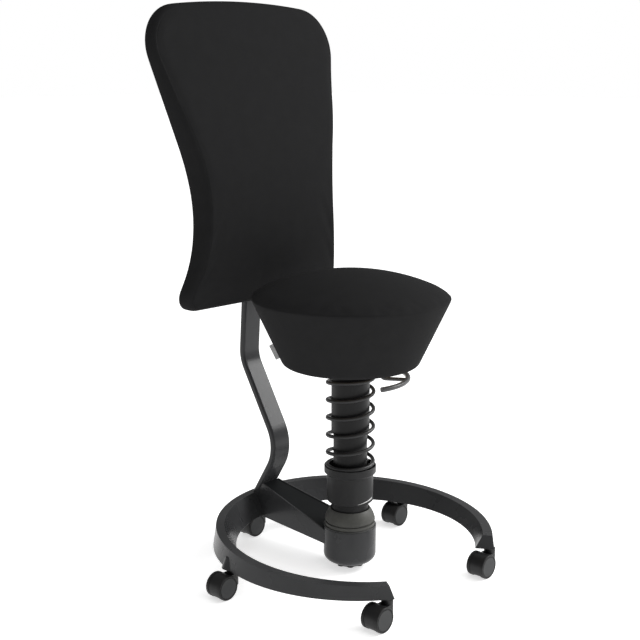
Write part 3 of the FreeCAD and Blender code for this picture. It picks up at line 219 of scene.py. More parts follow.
def bright_steel(name, colour, roughness, stretch):
    """Turned or drawn steel: fine lines across the stretch direction and faint stains."""
    material = finish(name, colour, roughness, Metallic=1.0)
    place = add(material, "TexCoord").outputs["Object"]
    lines_place = add(material, "Mapping", {"Vector": place, "Scale": stretch}).outputs["Vector"]
    lines = add(material, "TexNoise", {"Vector": lines_place, "Scale": 1, "Detail": 3}).outputs["Fac"]
    stain = add(material, "TexNoise", {"Vector": place, "Scale": 60, "Detail": 4}).outputs["Fac"]
    low = [c * 0.8 for c in colour]
    feed(material, "Base Color", shades(material, stain, (0.35, low), (0.6, colour)))
    feed(material, "Roughness", span(material, lines, roughness - 0.1, roughness + 0.12))
    feed(material, "Normal", bumps(material, lines, 0.15, 0.0002))
    return material


castor_names = ("rear", "left", "front_left", "front_right", "right")
hood_nylon = moulded_plastic("castor_hood_nylon", (0.008, 0.008, 0.0083), 0.42, 700, gloss=0.3)
castor_steel = bright_steel("castor_steel", (0.55, 0.55, 0.56), 0.32, (40, 40, 2500))
disc_r = 0.0203
groove_r = 0.0215
shaded_r = 0.026
edge_share = 0.012
# Painted shade: the ring groove between the grey disc and the tyre is coloured near black, darker than the
# rubber.
groove_shade = (0.003, 0.003, 0.003)
dust = (0.03, 0.0295, 0.0285, 1)
for castor in castor_names:
    dress(hood_nylon, "castor_%s_hood" % castor)
    dress(castor_steel, "castor_%s_stem" % castor, "castor_%s_axle" % castor)
    low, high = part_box("castor_%s_wheel_a" % castor)
    middle = ((low.x + high.x) / 2, 0, (low.z + high.z) / 2)
    wheel_finish = finish("castor_wheel_%s" % castor, (0.02, 0.02, 0.02), 0.45, Specular_IOR_Level=0.25)
    wheel_place = object_place(wheel_finish, middle)
    axes = add(wheel_finish, "SeparateXYZ", {0: wheel_place})
    from_axle = add(wheel_finish, "CombineXYZ", {"X": axes.outputs["X"], "Z": axes.outputs["Z"]}).outputs[0]
    radius = add(wheel_finish, "VectorMath", {0: from_axle}, operation="LENGTH").outputs["Value"]
    in_radius = math_node(wheel_finish, "DIVIDE", radius, shaded_r)
    scuff = add(wheel_finish, "TexNoise", {"Vector": wheel_place, "Scale": 180, "Detail": 5}).outputs["Fac"]
    zones = shades(wheel_finish, in_radius,
                   (0.0, (0.026, 0.0272, 0.028)),
                   (disc_r / shaded_r - edge_share, (0.029, 0.0302, 0.031)),
                   (disc_r / shaded_r, groove_shade),
                   (groove_r / shaded_r, groove_shade),
                   (groove_r / shaded_r + edge_share, (0.008, 0.008, 0.0083)),
                   (1.0, (0.011, 0.011, 0.011)))
    dust_share = span(wheel_finish, scuff, -0.25, 0.35)
    dusty = add(wheel_finish, "Mix", {0: dust_share, 6: zones, 7: dust}, data_type="RGBA")
    feed(wheel_finish, "Base Color", dusty.outputs[2])
    feed(wheel_finish, "Roughness", span(wheel_finish, scuff, 0.34, 0.58))
    feed(wheel_finish, "Normal", bumps(wheel_finish, scuff, 0.12, 0.0004))
    dress(wheel_finish, "castor_%s_wheel_a" % castor, "castor_%s_wheel_b" % castor)


# Base ring, arm, cup and post
# Pressed and bent steel in dark grey satin powder coat, baked on, with a fine orange peel; the folds and edges
# carry a painted highlight. The ring is open in front; the arm, the cup and the flat post are welded to it, and
# a black strip covers the arm.

def powder_coat(name, colour, roughness, edge=0.0009, gloss=0.35):
    """Baked powder paint: even grey with a fine orange peel, and a painted highlight along the edges."""
    material = finish(name, colour, roughness, Specular_IOR_Level=gloss)
    place = object_place(material)
    cloud = add(material, "TexNoise", {"Vector": place, "Scale": 9, "Detail": 4}).outputs["Fac"]
    speck = add(material, "TexNoise", {"Vector": place, "Scale": 1500, "Detail": 1}).outputs["Fac"]
    low = [c * 0.9 for c in colour]
    high = [c * 1.1 for c in colour]
    tone = shades(material, cloud, (0.35, low), (0.65, high))
    fleck_share = span(material, speck, 0.85, 1.15)
    flecked = add(material, "Mix", {0: fleck_share, 6: (0, 0, 0, 1), 7: tone}, data_type="RGBA",
                  clamp_factor=False)
    round_edge = add(material, "Bevel", {"Radius": edge}, samples=4).outputs["Normal"]
    true_face = add(material, "NewGeometry").outputs["True Normal"]
    flat = add(material, "VectorMath", {0: round_edge, 1: true_face},
               operation="DOT_PRODUCT").outputs["Value"]
    highlight_share = add(material, "MapRange", {"Value": flat, "From Min": 0.98, "From Max": 0.8,
                                      "To Max": 0.7}).outputs["Result"]
    # Painted highlight: where the rounded normal turns away from the face, on edges and folds, the grey is made
    # much lighter.
    highlight_grey = [c * 3.2 for c in colour]
    highlit_coat = add(material, "Mix", {0: highlight_share, 6: flecked.outputs[2], 7: (*highlight_grey, 1)}, data_type="RGBA")
    feed(material, "Base Color", highlit_coat.outputs[2])
    peel = add(material, "TexNoise", {"Vector": place, "Scale": 420, "Detail": 2}).outputs["Fac"]
    feed(material, "Roughness", span(material, cloud, roughness - 0.05, roughness + 0.07))
    feed(material, "Normal", bumps(material, peel, 0.1, 0.0004, round_edge))
    return material


frame_paint = powder_coat("frame_powder_coat", (0.036, 0.0366, 0.038), 0.26, gloss=0.18)
dress(frame_paint, "base_ring", "support_arm", "base_cup", "backrest_post")
strip_plastic = moulded_plastic("arm_strip_plastic", (0.005, 0.006, 0.0065), 0.6, 500, 0.06, 0.12)
dress(strip_plastic, "arm_insert")


# Tilt joint
# A cross of turned steel hangs between two forks in the cup. A rubber dome closes the cup and rests on a
# rubber ring, held by a moulded retaining ring; the lobed knob below sets how firmly the rubber is pressed.

def smooth_rubber(name, colour):
    """Moulded rubber: dull, with a faint bloom and fine pores."""
    material = finish(name, colour, 0.5, Specular_IOR_Level=0.35)
    place = object_place(material)
    bloom = add(material, "TexNoise", {"Vector": place, "Scale": 30, "Detail": 5}).outputs["Fac"]
    low = [c * 0.85 for c in colour]
    high = [c * 1.2 for c in colour]
    feed(material, "Base Color", shades(material, bloom, (0.3, low), (0.7, high)))
    pores = add(material, "TexNoise", {"Vector": place, "Scale": 1100, "Detail": 1}).outputs["Fac"]
    feed(material, "Roughness", span(material, bloom, 0.42, 0.58))
    feed(material, "Normal", bumps(material, pores, 0.06, 0.0003))
    return material


joint_steel = bright_steel("joint_steel", (0.5, 0.5, 0.51), 0.3, (900, 900, 60))
dress(joint_steel, "tilt_bracket", "pivot_cross", "knob_spindle")
dome_rubber = smooth_rubber("dome_rubber", (0.062, 0.062, 0.056))
dress(dome_rubber, "dome_boot", "buffer_ring")
joint_plastic = moulded_plastic("joint_plastic", (0.018, 0.018, 0.0175), 0.4)
dress(joint_plastic, "retaining_ring", "stiffness_knob")


# Column
# Two black steel tubes slide in each other inside the coil spring, with the bright gas lift inside them. A
# plastic cup with a pale wedge on it carries the spring's lower end and sets its height, and a collar holds the
# upper end. The spring is shown as a copy of its solid.

def select_only(piece):
    """Make a piece the only one selected, and the active one."""
    bpy.ops.object.select_all(action="DESELECT")
    piece.select_set(True)
    bpy.context.view_layer.objects.active = piece


def edit_mode(piece):
    """Start editing a piece with nothing selected."""
    select_only(piece)
    bpy.ops.object.mode_set(mode="EDIT")
    bpy.ops.mesh.select_all(action="DESELECT")


def object_mode():
    """Leave edit mode."""
    bpy.ops.object.mode_set(mode="OBJECT")


tube_paint = powder_coat("tube_black", (0.008, 0.008, 0.0083), 0.42, gloss=0.2)
dress(tube_paint, "column_stem", "lower_tube", "upper_tube", "spring_collar", "gas_cylinder")
spring_paint = powder_coat("spring_black", (0.014, 0.014, 0.0145), 0.36, 0.0004)
spring = bpy.data.objects.new("spring_wire", nodes["coil_spring"].data.copy())
scene.collection.objects.link(spring)
edit_mode(spring)
bpy.ops.mesh.select_all(action="SELECT")
bpy.ops.mesh.remove_doubles(threshold=0.000002)
object_mode()
bpy.ops.object.shade_smooth_by_angle(angle=math.radians(40))
spring.data.materials.clear()
spring.data.materials.append(spring_paint)
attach(spring, "column")
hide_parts("coil_spring")
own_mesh(spring)
lift_steel = bright_steel("lift_steel", (0.58, 0.58, 0.6), 0.22, (1200, 1200, 20))
dress(lift_steel, "inner_tube", "piston_rod", "thrust_washer", "valve_pin")
bush_plastic = moulded_plastic("bush_plastic", (0.3, 0.3, 0.29), 0.45)
dress(bush_plastic, "guide_bush")

cup_plastic = moulded_plastic("spring_cup_plastic", (0.011, 0.011, 0.0114), 0.42, gloss=0.25)
cup_axes = add(cup_plastic, "SeparateXYZ", {0: object_place(cup_plastic)})
cup_turn = math_node(cup_plastic, "ARCTAN2", cup_axes.outputs["Y"], cup_axes.outputs["X"])
wedge_start, wedge_end = math.radians(-119), math.radians(-68)
wedge_share = add(cup_plastic, "MapRange", {"Value": cup_turn, "From Min": wedge_start, "From Max": wedge_end},
                  clamp=False).outputs["Result"]
wedge_low = math_node(cup_plastic, "MULTIPLY_ADD", wedge_share, 0.0045, 0.1490)
wedge_high = math_node(cup_plastic, "MULTIPLY_ADD", wedge_share, 0.0078, 0.1495)
in_turn = math_node(cup_plastic, "COMPARE", wedge_share, 0.5, 0.5)
above = math_node(cup_plastic, "GREATER_THAN", cup_axes.outputs["Z"], wedge_low)
below = math_node(cup_plastic, "LESS_THAN", cup_axes.outputs["Z"], wedge_high)
in_wedge = math_node(cup_plastic, "MULTIPLY", math_node(cup_plastic, "MULTIPLY", above, below), in_turn)
cup_shader = cup_plastic.node_tree.nodes["Principled BSDF"]
cup_tone = cup_shader.inputs["Base Color"].links[0].from_socket
# A pale grey wedge is coloured onto the cup's lower edge at the front right, widening towards the right.
pale_wedge = add(cup_plastic, "Mix", {0: in_wedge, 6: cup_tone, 7: (0.5, 0.5, 0.5, 1)}, data_type="RGBA")
feed(cup_plastic, "Base Color", pale_wedge.outputs[2])
dress(cup_plastic, "spring_cup")


# Seat carrier and release lever
# A cast hub sits on the gas lift and is screwed to a plywood plate. The lever is a bent steel rod with a
# thicker grip bar on an arc under the seat; it turns on a pin in the hub and presses the lift's valve.

hub_paint = powder_coat("hub_black", (0.024, 0.024, 0.025), 0.45)
dress(hub_paint, "seat_hub", "backrest_bracket")
screw_steel = bright_steel("screw_steel", (0.5, 0.5, 0.5), 0.3, (900, 900, 900))
dress(screw_steel, "seat_screws", "lever_pin")
lever_paint = powder_coat("lever_grey", (0.045, 0.045, 0.046), 0.35, 0.0005)
dress(lever_paint, "release_lever")

plywood = finish("plywood", (0.45, 0.33, 0.2), 0.6)
ply_place = add(plywood, "TexCoord").outputs["Object"]
ply_grain_place = add(plywood, "Mapping", {"Vector": ply_place, "Scale": (12, 260, 900)}).outputs["Vector"]
ply_grain = add(plywood, "TexNoise", {"Vector": ply_grain_place, "Scale": 1, "Detail": 5}).outputs["Fac"]
feed(plywood, "Base Color", shades(plywood, ply_grain, (0.3, (0.3, 0.2, 0.11)), (0.7, (0.56, 0.43, 0.28))))
feed(plywood, "Roughness", span(plywood, ply_grain, 0.5, 0.75))
feed(plywood, "Normal", bumps(plywood, ply_grain, 0.25, 0.0005))
dress(plywood, "seat_plate")


# Seat cushion
# A foam cone on the plywood plate under a tight black knit cover: a domed top panel sewn to a side panel along
# the rim. The cover turns in under the lower edge and is stapled to the plate; one upright seam at the side
# holds a blank tag.

def stuff(piece, held, pressure, most):
    """Let a cover swell over its foam with Cloth: held points stay, and no point moves by more than most."""
    tight = [v.co.copy() for v in piece.data.vertices]
    group = piece.vertex_groups.new(name="held")
    group.add(held, 1.0, "REPLACE")
    cloth = piece.modifiers.new("cover", "CLOTH")
    cloth.settings.quality = 5
    cloth.settings.mass = 0.3
    cloth.settings.tension_stiffness = 15
    cloth.settings.compression_stiffness = 15
    cloth.settings.shear_stiffness = 5
    cloth.settings.bending_stiffness = 2
    cloth.settings.use_pressure = True
    cloth.settings.uniform_pressure_force = pressure
    cloth.settings.vertex_group_mass = "held"
    cloth.settings.effector_weights.gravity = 0
    cloth.collision_settings.use_collision = False
    frames = 20
    cloth.point_cache.frame_start = 1
    cloth.point_cache.frame_end = frames
    for step in range(1, frames + 1):
        scene.frame_set(step)
    select_only(piece)
    bpy.ops.object.modifier_apply(modifier="cover")
    scene.frame_set(1)
    for vertex, start in zip(piece.data.vertices, tight):
        moved = vertex.co - start
        if moved.length > most:
            vertex.co = start + moved * (most / moved.length)
    piece.vertex_groups.clear()


def smooth_finish(piece):
    """One subdivision, applied, and smooth shading."""
    select_only(piece)
    finer = piece.modifiers.new("finer", "SUBSURF")
    finer.levels = 1
    finer.render_levels = 1
    bpy.ops.object.modifier_apply(modifier="finer")
    bpy.ops.object.shade_smooth()


seat_around = 144
seat_crown_r = 0.4471
seat_top = 0.6275
seat_foot = (0.1292, 0.4514)
seat_foot_r = 0.014
side_low = (0.1419, 0.4455)
side_run = (0.0598, 0.1285)
side_steps = 16
seat_rim = (0.1971, 0.5761)
seat_rim_r = 0.005
rim_seam_r = 0.0045
seam_turn = -12.0
seam_angle = 135.0
dome_rings = (0.1985, 0.1965, 0.193, 0.187, 0.179, 0.170, 0.160, 0.151, 0.142, 0.133, 0.124, 0.115, 0.106)


def dome_height(radius):
    """Height of the foam's domed top at a distance from the axis."""
    return seat_top - seat_crown_r + math.sqrt(seat_crown_r ** 2 - radius ** 2)


def round_corner(middle, reach, turn):
    """Point on a rounded edge of the seat's outline."""
    swing = math.radians(turn)
    return middle[0] + reach * math.cos(swing), middle[1] + reach * math.sin(swing)


seat_rings = [(0.1184, 0.4557), (0.1183, 0.4480), (0.1183, 0.4440), (0.1186, 0.4390), (0.1206, 0.4378),
              (0.1250, 0.4375)]
for turn in (-90, -79, -68, -57, -46, -35, -25):
    seat_rings.append(round_corner(seat_foot, seat_foot_r, turn))
for step in range(1, side_steps):
    share = step / side_steps
    seat_rings.append((side_low[0] + side_run[0] * share, side_low[1] + side_run[1] * share))
rim_seam = round_corner(seat_rim, rim_seam_r, seam_turn)
for turn in (-25, seam_turn, 0, 14, 28, 46, 63):
    seat_rings.append(rim_seam if turn == seam_turn else round_corner(seat_rim, seat_rim_r, turn))
for radius in dome_rings:
    seat_rings.append((radius, dome_height(radius)))

bpy.ops.object.select_all(action="DESELECT")
first_r, first_z = seat_rings[0]
bpy.ops.mesh.primitive_circle_add(vertices=seat_around, radius=first_r, fill_type="NGON",
                                  location=(0, 0, first_z))
seat = bpy.context.object
seat.name = "seat_cover"
bpy.ops.object.transform_apply(location=True, rotation=True, scale=True)
edit_mode(seat)
bpy.ops.mesh.select_mode(type="EDGE")
bpy.ops.mesh.select_all(action="SELECT")
bpy.ops.mesh.select_mode(type="EDGE")
bpy.ops.mesh.region_to_loop()
last_r, last_z = first_r, first_z
for ring_r, ring_z in seat_rings[1:]:
    bpy.ops.mesh.extrude_edges_move(TRANSFORM_OT_translate={"value": (0, 0, ring_z - last_z)})
    bpy.ops.transform.resize(value=(ring_r / last_r, ring_r / last_r, 1), center_override=(0, 0, ring_z))
    last_r, last_z = ring_r, ring_z
bpy.ops.mesh.fill_grid(span=seat_around // 4)
object_mode()
for vertex in seat.data.vertices:
    radius = math.hypot(vertex.co.x, vertex.co.y)
    if vertex.co.z > seat_rim[1] and radius < last_r - 1e-5:
        vertex.co.z = dome_height(radius)
edit_mode(seat)
bpy.ops.mesh.select_all(action="SELECT")
bpy.ops.mesh.normals_make_consistent(inside=False)
object_mode()

side_r = 0.17
side_slant = 1.095
top_apart = 2.4
under_apart = 4.4
side_round = 2 * math.pi * side_r
seat_cloth = seat.data.uv_layers.new(name="cloth")
for face in seat.data.polygons:
    middle = face.center
    middle_r = math.hypot(middle.x, middle.y)
    middle_turn = (math.atan2(middle.y, middle.x) - math.radians(seam_angle)) % (2 * math.pi)
    for corner in face.loop_indices:
        point = seat.data.vertices[seat.data.loops[corner].vertex_index].co
        if middle_r > seat_foot[0] and middle.z < rim_seam[1]:
            turn = (math.atan2(point.y, point.x) - math.radians(seam_angle)) % (2 * math.pi)
            if turn - middle_turn > math.pi:
                turn -= 2 * math.pi
            if middle_turn - turn > math.pi:
                turn += 2 * math.pi
            seat_cloth.data[corner].uv = (turn * side_r, point.z * side_slant)
        elif middle.z > rim_seam[1]:
            seat_cloth.data[corner].uv = (point.x + top_apart, point.y + top_apart)
        else:
            seat_cloth.data[corner].uv = (point.x + under_apart, point.y + under_apart)

stapled_z = 0.441
inner_r, inner_z = 0.1195, 0.456
seam_near = 0.0004
seat_held = []
for vertex in seat.data.vertices:
    radius = math.hypot(vertex.co.x, vertex.co.y)
    turned_in = vertex.co.z < stapled_z or (radius < inner_r and vertex.co.z < inner_z)
    at_seam = math.hypot(radius - rim_seam[0], vertex.co.z - rim_seam[1]) < seam_near
    if turned_in or at_seam:
        seat_held.append(vertex.index)
stuff(seat, seat_held, 2.5, 0.0020)
smooth_finish(seat)


def knit_cover(name, colour, round_way):
    """Fine black knit: courses, wales, fuzz, a soft mottle, and one seam where the cloth's width closes."""
    wale_width = 0.0015
    course_height = 0.0013
    seam_half = 0.0013 / round_way
    material = finish(name, colour, 0.9, Specular_IOR_Level=0.03)
    cloth = add(material, "UVMap", uv_map="cloth").outputs["UV"]
    axes = add(material, "SeparateXYZ", {0: cloth})
    across, along = axes.outputs["X"], axes.outputs["Y"]
    wale = math_node(material, "SINE", math_node(material, "MULTIPLY", across, 2 * math.pi / wale_width))
    course = math_node(material, "SINE", math_node(material, "MULTIPLY", along, 2 * math.pi / course_height))
    thread = math_node(material, "MULTIPLY", wale, course)
    place = object_place(material)
    mottle = add(material, "TexNoise", {"Vector": place, "Scale": 34, "Detail": 4,
                                        "Roughness": 0.6}).outputs["Fac"]
    fuzz = add(material, "TexNoise", {"Vector": place, "Scale": 1300, "Detail": 2}).outputs["Fac"]
    raised = math_node(material, "MULTIPLY", thread, 0.16)
    woolly = math_node(material, "MULTIPLY", fuzz, 0.5)
    tone = math_node(material, "ADD", math_node(material, "ADD", raised, woolly), mottle)
    dark = [c * 0.90 for c in colour]
    light = [c * 1.10 for c in colour]
    shade = shades(material, tone, (0.4, dark), (1.0, light))
    turn = math_node(material, "FRACT", math_node(material, "MULTIPLY_ADD", across, 1 / round_way, 0.5))
    off_seam = math_node(material, "ABSOLUTE", math_node(material, "SUBTRACT", turn, 0.5))
    seam = add(material, "MapRange", {"Value": off_seam, "From Min": 0.0, "From Max": seam_half,
                                      "To Min": 1.0, "To Max": 0.0},
               interpolation_type="SMOOTHSTEP").outputs["Result"]
    in_seam = (*[c * 0.3 for c in colour], 1)
    sewn = add(material, "Mix", {0: seam, 6: shade, 7: in_seam}, data_type="RGBA").outputs[2]
    feed(material, "Base Color", sewn)
    feed(material, "Roughness", span(material, mottle, 0.8, 0.98))
    knit_relief = bumps(material, math_node(material, "ADD", raised, woolly), 0.35, 0.0004)
    feed(material, "Normal", bumps(material, seam, 1.0, -0.0008, knit_relief))
    return material


seat.data.materials.append(knit_cover("seat_knit", (0.0170, 0.0170, 0.0174), side_round))
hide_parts("seat_cushion")
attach(seat, "seat")


# Seat tag
# A short blank ribbon of pale woven tape, folded and caught in the upright seam near the cover's lower edge.

tag_width = 0.0105
tag_length = 0.0330
tag_sewn = 0.0015
tag_free = 0.009
tag_z = 0.4500
cone_r, cone_z = 0.1381, 0.4374
cone_widening = 0.4653
slant_out, slant_up = 0.4218, 0.9067
tag_turn = math.radians(seam_angle)
tag_out = Vector((math.cos(tag_turn), math.sin(tag_turn), 0))
tag_aside = Vector((-math.sin(tag_turn), math.cos(tag_turn), 0))
tag_up = tag_out * slant_out + Vector((0, 0, slant_up))
tag_off = tag_out * slant_up - Vector((0, 0, slant_out))
tag_foot = tag_out * (cone_r + (tag_z - cone_z) * cone_widening) + Vector((0, 0, tag_z))
bpy.ops.object.select_all(action="DESELECT")
bpy.ops.mesh.primitive_grid_add(x_subdivisions=10, y_subdivisions=20, size=1, location=(0, 0, 0))
tag = bpy.context.object
tag.name = "seat_tag"
for vertex in tag.data.vertices:
    out = (vertex.co.x + 0.5) * tag_width - tag_sewn
    up = (vertex.co.y + 0.5) * tag_length
    curl = 0.0012 * (out / tag_free) ** 2 + 0.0004 * math.sin(up * 260) * max(out, 0) / tag_free
    vertex.co = tag_foot + tag_off * out + tag_up * up + tag_aside * curl
tag_ply = tag.modifiers.new("ply", "SOLIDIFY")
tag_ply.thickness = 0.0007
tag_ply.offset = 0
bpy.ops.object.modifier_apply(modifier="ply")
bpy.ops.object.shade_smooth_by_angle(angle=math.radians(40))

tape = finish("tag_tape", (0.42, 0.42, 0.42), 0.85, Sheen_Weight=0.1)
tape_place = object_place(tape)
tape_ribs = add(tape, "TexWave", {"Vector": tape_place, "Scale": 260, "Distortion": 0.6}, bands_direction="Z")
rib_low, rib_high = (0.36, 0.36, 0.36), (0.46, 0.46, 0.46)
feed(tape, "Base Color", shades(tape, tape_ribs.outputs["Fac"], (0.2, rib_low), (0.8, rib_high)))
tape_fuzz = add(tape, "TexNoise", {"Vector": tape_place, "Scale": 900}).outputs["Fac"]
feed(tape, "Roughness", span(tape, tape_fuzz, 0.75, 0.95))
feed(tape, "Normal", bumps(tape, tape_ribs.outputs["Fac"], 0.3, 0.0003))
tag.data.materials.append(tape)
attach(tag, "seat")


# Backrest carrier
# A rigid moulded shell closes the rear of the back. Its cast sleeve slides on the post, and a star knob clamps
# it at the height that is wanted.

shell_plastic = moulded_plastic("shell_plastic", (0.022, 0.022, 0.023), 0.48, 600, 0.2)
dress(shell_plastic, "backrest_shell", "clamp_knob")


# Backrest pad
# Foam on the rigid shell, waisted at the lumbar and bent forward there, under the same knit cover: a front
# panel sewn to a band round the edge. The cover turns in behind and is held by the shell, and a notch below
# lets the post pass.

lumbar_y, lumbar_z = 0.214, 0.715
lower_arc = 0.389
upper_arc = 0.760
upper_rise = 0.245
top_arc = 1.266
crown_high, crown_half = 0.005, 0.328


def front_depth(x, z):
    """Y of the foam's front: an arc below the lumbar, one above it and a straighter top, crowned across."""
    crown = crown_high * (1 - (x / crown_half) ** 2)
    if z < lumbar_z:
        y = lumbar_y + lower_arc - math.sqrt(lower_arc ** 2 - (lumbar_z - z) ** 2)
    elif z < lumbar_z + upper_rise:
        y = lumbar_y + upper_arc - math.sqrt(upper_arc ** 2 - (z - lumbar_z) ** 2)
    else:
        bend = math.asin(upper_rise / upper_arc)
        lean = math.asin(math.sin(bend) - (z - lumbar_z - upper_rise) / top_arc)
        y = lumbar_y + upper_arc * (1 - math.cos(bend)) + top_arc * (math.cos(lean) - math.cos(bend))
    return y - crown


rear_y, rear_z = 0.265, 0.680
rear_lower_arc = 0.400
rear_upper_arc = 0.700
rear_rise = 0.110


def rear_depth(z):
    """Y of the back's rear face: an arc below, an arc above and a straight top."""
    if z < rear_z:
        return rear_y + rear_lower_arc - math.sqrt(rear_lower_arc ** 2 - (rear_z - z) ** 2)
    if z < rear_z + rear_rise:
        return rear_y + rear_upper_arc - math.sqrt(rear_upper_arc ** 2 - (z - rear_z) ** 2)
    bend = math.asin(rear_rise / rear_upper_arc)
    return rear_y + rear_upper_arc * (1 - math.cos(bend)) + math.tan(bend) * (z - rear_z - rear_rise)


post_y, post_z = 0.2991, 0.4030
post_lean = math.radians(4)
post_half = 0.0075
post_room = 0.0020
notch_half = 0.0275
notch_top = 0.742


def notch_depth(z):
    """Y that leaves room for the post where it runs into the back."""
    return post_y - math.tan(post_lean) * (z - post_z) - post_half - post_room


def arc_walk(centre, radius, start, end, inward):
    """Points every millimetre or so along an arc in the front view, each with its inward normal."""
    steps = max(2, round(abs(end - start) / 360 * 2 * math.pi * radius / 0.001))
    walk = []
    for step in range(steps + 1):
        turn = math.radians(start + (end - start) * step / steps)
        out = Vector((math.cos(turn), math.sin(turn)))
        walk.append((Vector(centre) + out * radius, out * inward))
    return walk


flare_turn = 15.7
waist_x, waist_z, waist_r = 0.657, 0.745, 0.470
foot_z, foot_r = 0.536, 0.035
top_z, top_r = 1.161, 1.800
corner_r = 0.085
flare = math.radians(flare_turn)
side_along = Vector((math.sin(flare), math.cos(flare)))
side_in = Vector((-math.cos(flare), math.sin(flare)))
shoulder = Vector((waist_x - waist_r * math.cos(flare), waist_z + waist_r * math.sin(flare)))
top_middle = Vector((0, top_z - top_r))
corner_line = shoulder + side_in * corner_r - top_middle
corner_reach = -corner_line.dot(side_along) + math.sqrt(
    corner_line.dot(side_along) ** 2 - corner_line.length_squared + (top_r - corner_r) ** 2)
corner_centre = shoulder + side_in * corner_r + side_along * corner_reach
corner_end = math.degrees(math.atan2(corner_centre.y - top_middle.y, corner_centre.x - top_middle.x))
foot_drop = waist_z - foot_z - foot_r
foot_x = waist_x - math.sqrt((waist_r + foot_r) ** 2 - foot_drop ** 2)
foot_end = math.degrees(math.atan2(foot_drop, waist_x - foot_x))

half_walk = [(Vector((foot_x * step / 180, foot_z)), Vector((0, 1))) for step in range(181)]
half_walk += arc_walk((foot_x, foot_z + foot_r), foot_r, -90, foot_end, -1)[1:]
half_walk += arc_walk((waist_x, waist_z), waist_r, 180 + foot_end, 180 - flare_turn, 1)[1:]
half_walk += [(shoulder + side_along * corner_reach * step / 100, side_in) for step in range(1, 101)]
half_walk += arc_walk(corner_centre, corner_r, -flare_turn, corner_end, -1)[1:]
top_walk = arc_walk(top_middle, top_r, corner_end, 90, -1)
half_walk += top_walk[1:]

half_way = [0.0]
for (a, _), (b, _) in zip(half_walk, half_walk[1:]):
    half_way.append(half_way[-1] + (b - a).length)
foot_turn = foot_x + foot_r * math.radians(foot_end + 90) / 2
top_start = half_way[len(half_walk) - len(top_walk)]
top_turn = top_start - corner_r * math.radians(corner_end + flare_turn) / 2


def on_edge(way):
    """Point and inward normal of the right half's outline at a distance along it from the bottom's middle."""
    low, high = 0, len(half_way) - 1
    while high - low > 1:
        mid = (low + high) // 2
        if half_way[mid] <= way:
            low = mid
        else:
            high = mid
    share = min(1.0, max(0.0, (way - half_way[low]) / (half_way[high] - half_way[low])))
    point = half_walk[low][0].lerp(half_walk[high][0], share)
    return point, half_walk[low][1].lerp(half_walk[high][1], share).normalized()


pad_half = 27
pad_across = 2 * pad_half
pad_up = 56
foot_ways = [0, 0.009, 0.018, 0.024, 0.0268, 0.0286, 0.0314, 0.037, 0.046]
near_notch = foot_ways[-1]
foot_steps = pad_half + 1 - len(foot_ways)
foot_ways += [near_notch + (foot_turn - near_notch) * step / foot_steps for step in range(1, foot_steps + 1)]
side_ways = [foot_turn + (top_turn - foot_turn) * step / pad_up for step in range(1, pad_up)]
top_ways = [top_turn + (half_way[-1] - top_turn) * step / pad_half for step in range(pad_half + 1)]
right_half = [on_edge(way) for way in foot_ways + side_ways + top_ways]
left_half = [(Vector((-p.x, p.y)), Vector((-n.x, n.y))) for p, n in right_half]
rim = right_half + left_half[-2:0:-1]
rim_way = [0.0]
for (a, _), (b, _) in zip(rim, rim[1:] + rim[:1]):
    rim_way.append(rim_way[-1] + (b - a).length)


def rim_point(place, inset):
    """Front-view point on the outline, moved in."""
    point, inward = rim[place % len(rim)]
    return point + inward * inset


def pad_place(i, j):
    """Number on the rim of a border point of the grid, or None inside."""
    if j == 0:
        return (i - pad_half) % len(rim)
    if i == pad_across:
        return pad_half + j
    if j == pad_up:
        return pad_half + pad_up + (pad_across - i)
    if i == 0:
        return len(rim) - pad_half - j
    return None


def pad_point(i, j, inset):
    """Front-view point of the grid, spread evenly between the four sides of the outline."""
    u, v = i / pad_across, j / pad_up
    low, high = rim_point(pad_place(i, 0), inset), rim_point(pad_place(i, pad_up), inset)
    left, right = rim_point(pad_place(0, j), inset), rim_point(pad_place(pad_across, j), inset)
    corners = rim_point(pad_place(0, 0), inset) * (1 - u) * (1 - v)
    corners += rim_point(pad_place(pad_across, 0), inset) * u * (1 - v)
    corners += rim_point(pad_place(0, pad_up), inset) * (1 - u) * v
    corners += rim_point(pad_place(pad_across, pad_up), inset) * u * v
    return low * (1 - v) + high * v + left * (1 - u) + right * u - corners


edge_r = 0.013
cover_back = 0.0010
edge_back = 0.0140
seam_at = 20
seam_reach = 0.0118
rear_edge_r = 0.007
inner_inset = 0.0118
inner_back = 0.0054
pad_points = []
pad_faces = []
pad_grid = {}
for j in range(pad_up + 1):
    for i in range(pad_across + 1):
        point = pad_point(i, j, edge_r)
        pad_grid[i, j] = len(pad_points)
        pad_points.append((point.x, front_depth(point.x, point.y) + cover_back, point.y))
for j in range(pad_up):
    for i in range(pad_across):
        pad_faces.append((pad_grid[i, j], pad_grid[i + 1, j], pad_grid[i + 1, j + 1], pad_grid[i, j + 1]))
border = {pad_place(i, j): number for (i, j), number in pad_grid.items() if pad_place(i, j) is not None}
last_row = [border[place] for place in range(len(rim))]

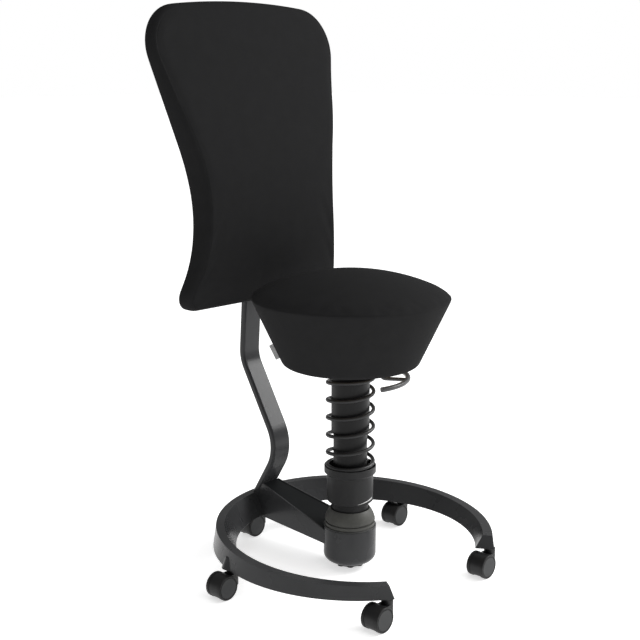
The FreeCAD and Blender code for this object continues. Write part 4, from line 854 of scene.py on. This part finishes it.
front_turns = (10, 17, seam_at, 23, 33, 45, 58, 74, 90)
pad_rows = []
for turn in front_turns:
    reach = seam_reach if turn == seam_at else edge_r
    swing = math.radians(turn)
    pad_rows.append((edge_r - reach * math.sin(swing), "front", edge_back - reach * math.cos(swing)))
pad_rows += [(0, "side", 0.33), (0, "side", 0.67), (0, "rear", rear_edge_r)]
for turn in (30, 60, 90):
    swing = math.radians(turn)
    pad_rows.append((rear_edge_r - rear_edge_r * math.cos(swing), "rear",
                     rear_edge_r - rear_edge_r * math.sin(swing)))
pad_rows += [(0.0108, "rear", 0.0001), (0.0117, "rear", 0.0012), (inner_inset, "rear", 0.0052)]
pad_row_starts = []
for inset, side, offset in pad_rows:
    row = []
    pad_row_starts.append(len(pad_points))
    for place in range(len(rim)):
        point = rim_point(place, inset)
        near = front_depth(point.x, point.y) + edge_back
        far = rear_depth(point.y)
        depth = near - edge_back + offset if side == "front" else far - offset
        if side == "side":
            depth = near + (far - rear_edge_r - near) * offset
        in_notch = abs(point.x) < notch_half and point.y < notch_top
        if in_notch and depth > near:
            depth = near + (depth - near) * (notch_depth(point.y) - near) / (far - near)
        row.append(len(pad_points))
        pad_points.append((point.x, depth, point.y))
    for place in range(len(rim)):
        after = (place + 1) % len(rim)
        pad_faces.append((last_row[place], row[place], row[after], last_row[after]))
    last_row = row
pad_rear = {}
for j in range(pad_up + 1):
    for i in range(pad_across + 1):
        place = pad_place(i, j)
        if place is not None:
            pad_rear[i, j] = last_row[place]
            continue
        point = pad_point(i, j, inner_inset)
        depth = rear_depth(point.y) - inner_back
        if abs(point.x) < notch_half and point.y < notch_top:
            depth = min(depth, notch_depth(point.y))
        pad_rear[i, j] = len(pad_points)
        pad_points.append((point.x, depth, point.y))
for j in range(pad_up):
    for i in range(pad_across):
        pad_faces.append((pad_rear[i, j], pad_rear[i, j + 1], pad_rear[i + 1, j + 1], pad_rear[i + 1, j]))

pad_mesh = bpy.data.meshes.new("backrest_cover")
pad_mesh.from_pydata(pad_points, [], pad_faces)
pad = bpy.data.objects.new("backrest_cover", pad_mesh)
scene.collection.objects.link(pad)

seam_row = front_turns.index(seam_at)
pad_cloth = pad.data.uv_layers.new(name="cloth")
for face in pad.data.polygons:
    row, place = divmod(face.index - pad_across * pad_up, len(rim))
    on_band = seam_row < row < len(pad_rows)
    for number, corner in enumerate(face.loop_indices):
        point = pad.data.vertices[pad.data.loops[corner].vertex_index].co
        if on_band:
            pad_cloth.data[corner].uv = (rim_way[place + (number > 1)], point.y)
        else:
            pad_cloth.data[corner].uv = (point.x + top_apart, point.z)

pad_held = list(range(pad_row_starts[seam_row], pad_row_starts[seam_row] + len(rim)))
pad_held += list(range(pad_row_starts[len(front_turns) + 3], len(pad_points)))
stuff(pad, pad_held, 4.0, 0.0020)
smooth_finish(pad)

pad.data.materials.append(knit_cover("backrest_knit", (0.0145, 0.0145, 0.0149), rim_way[-1]))
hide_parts("backrest_pad")
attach(pad, "backrest")
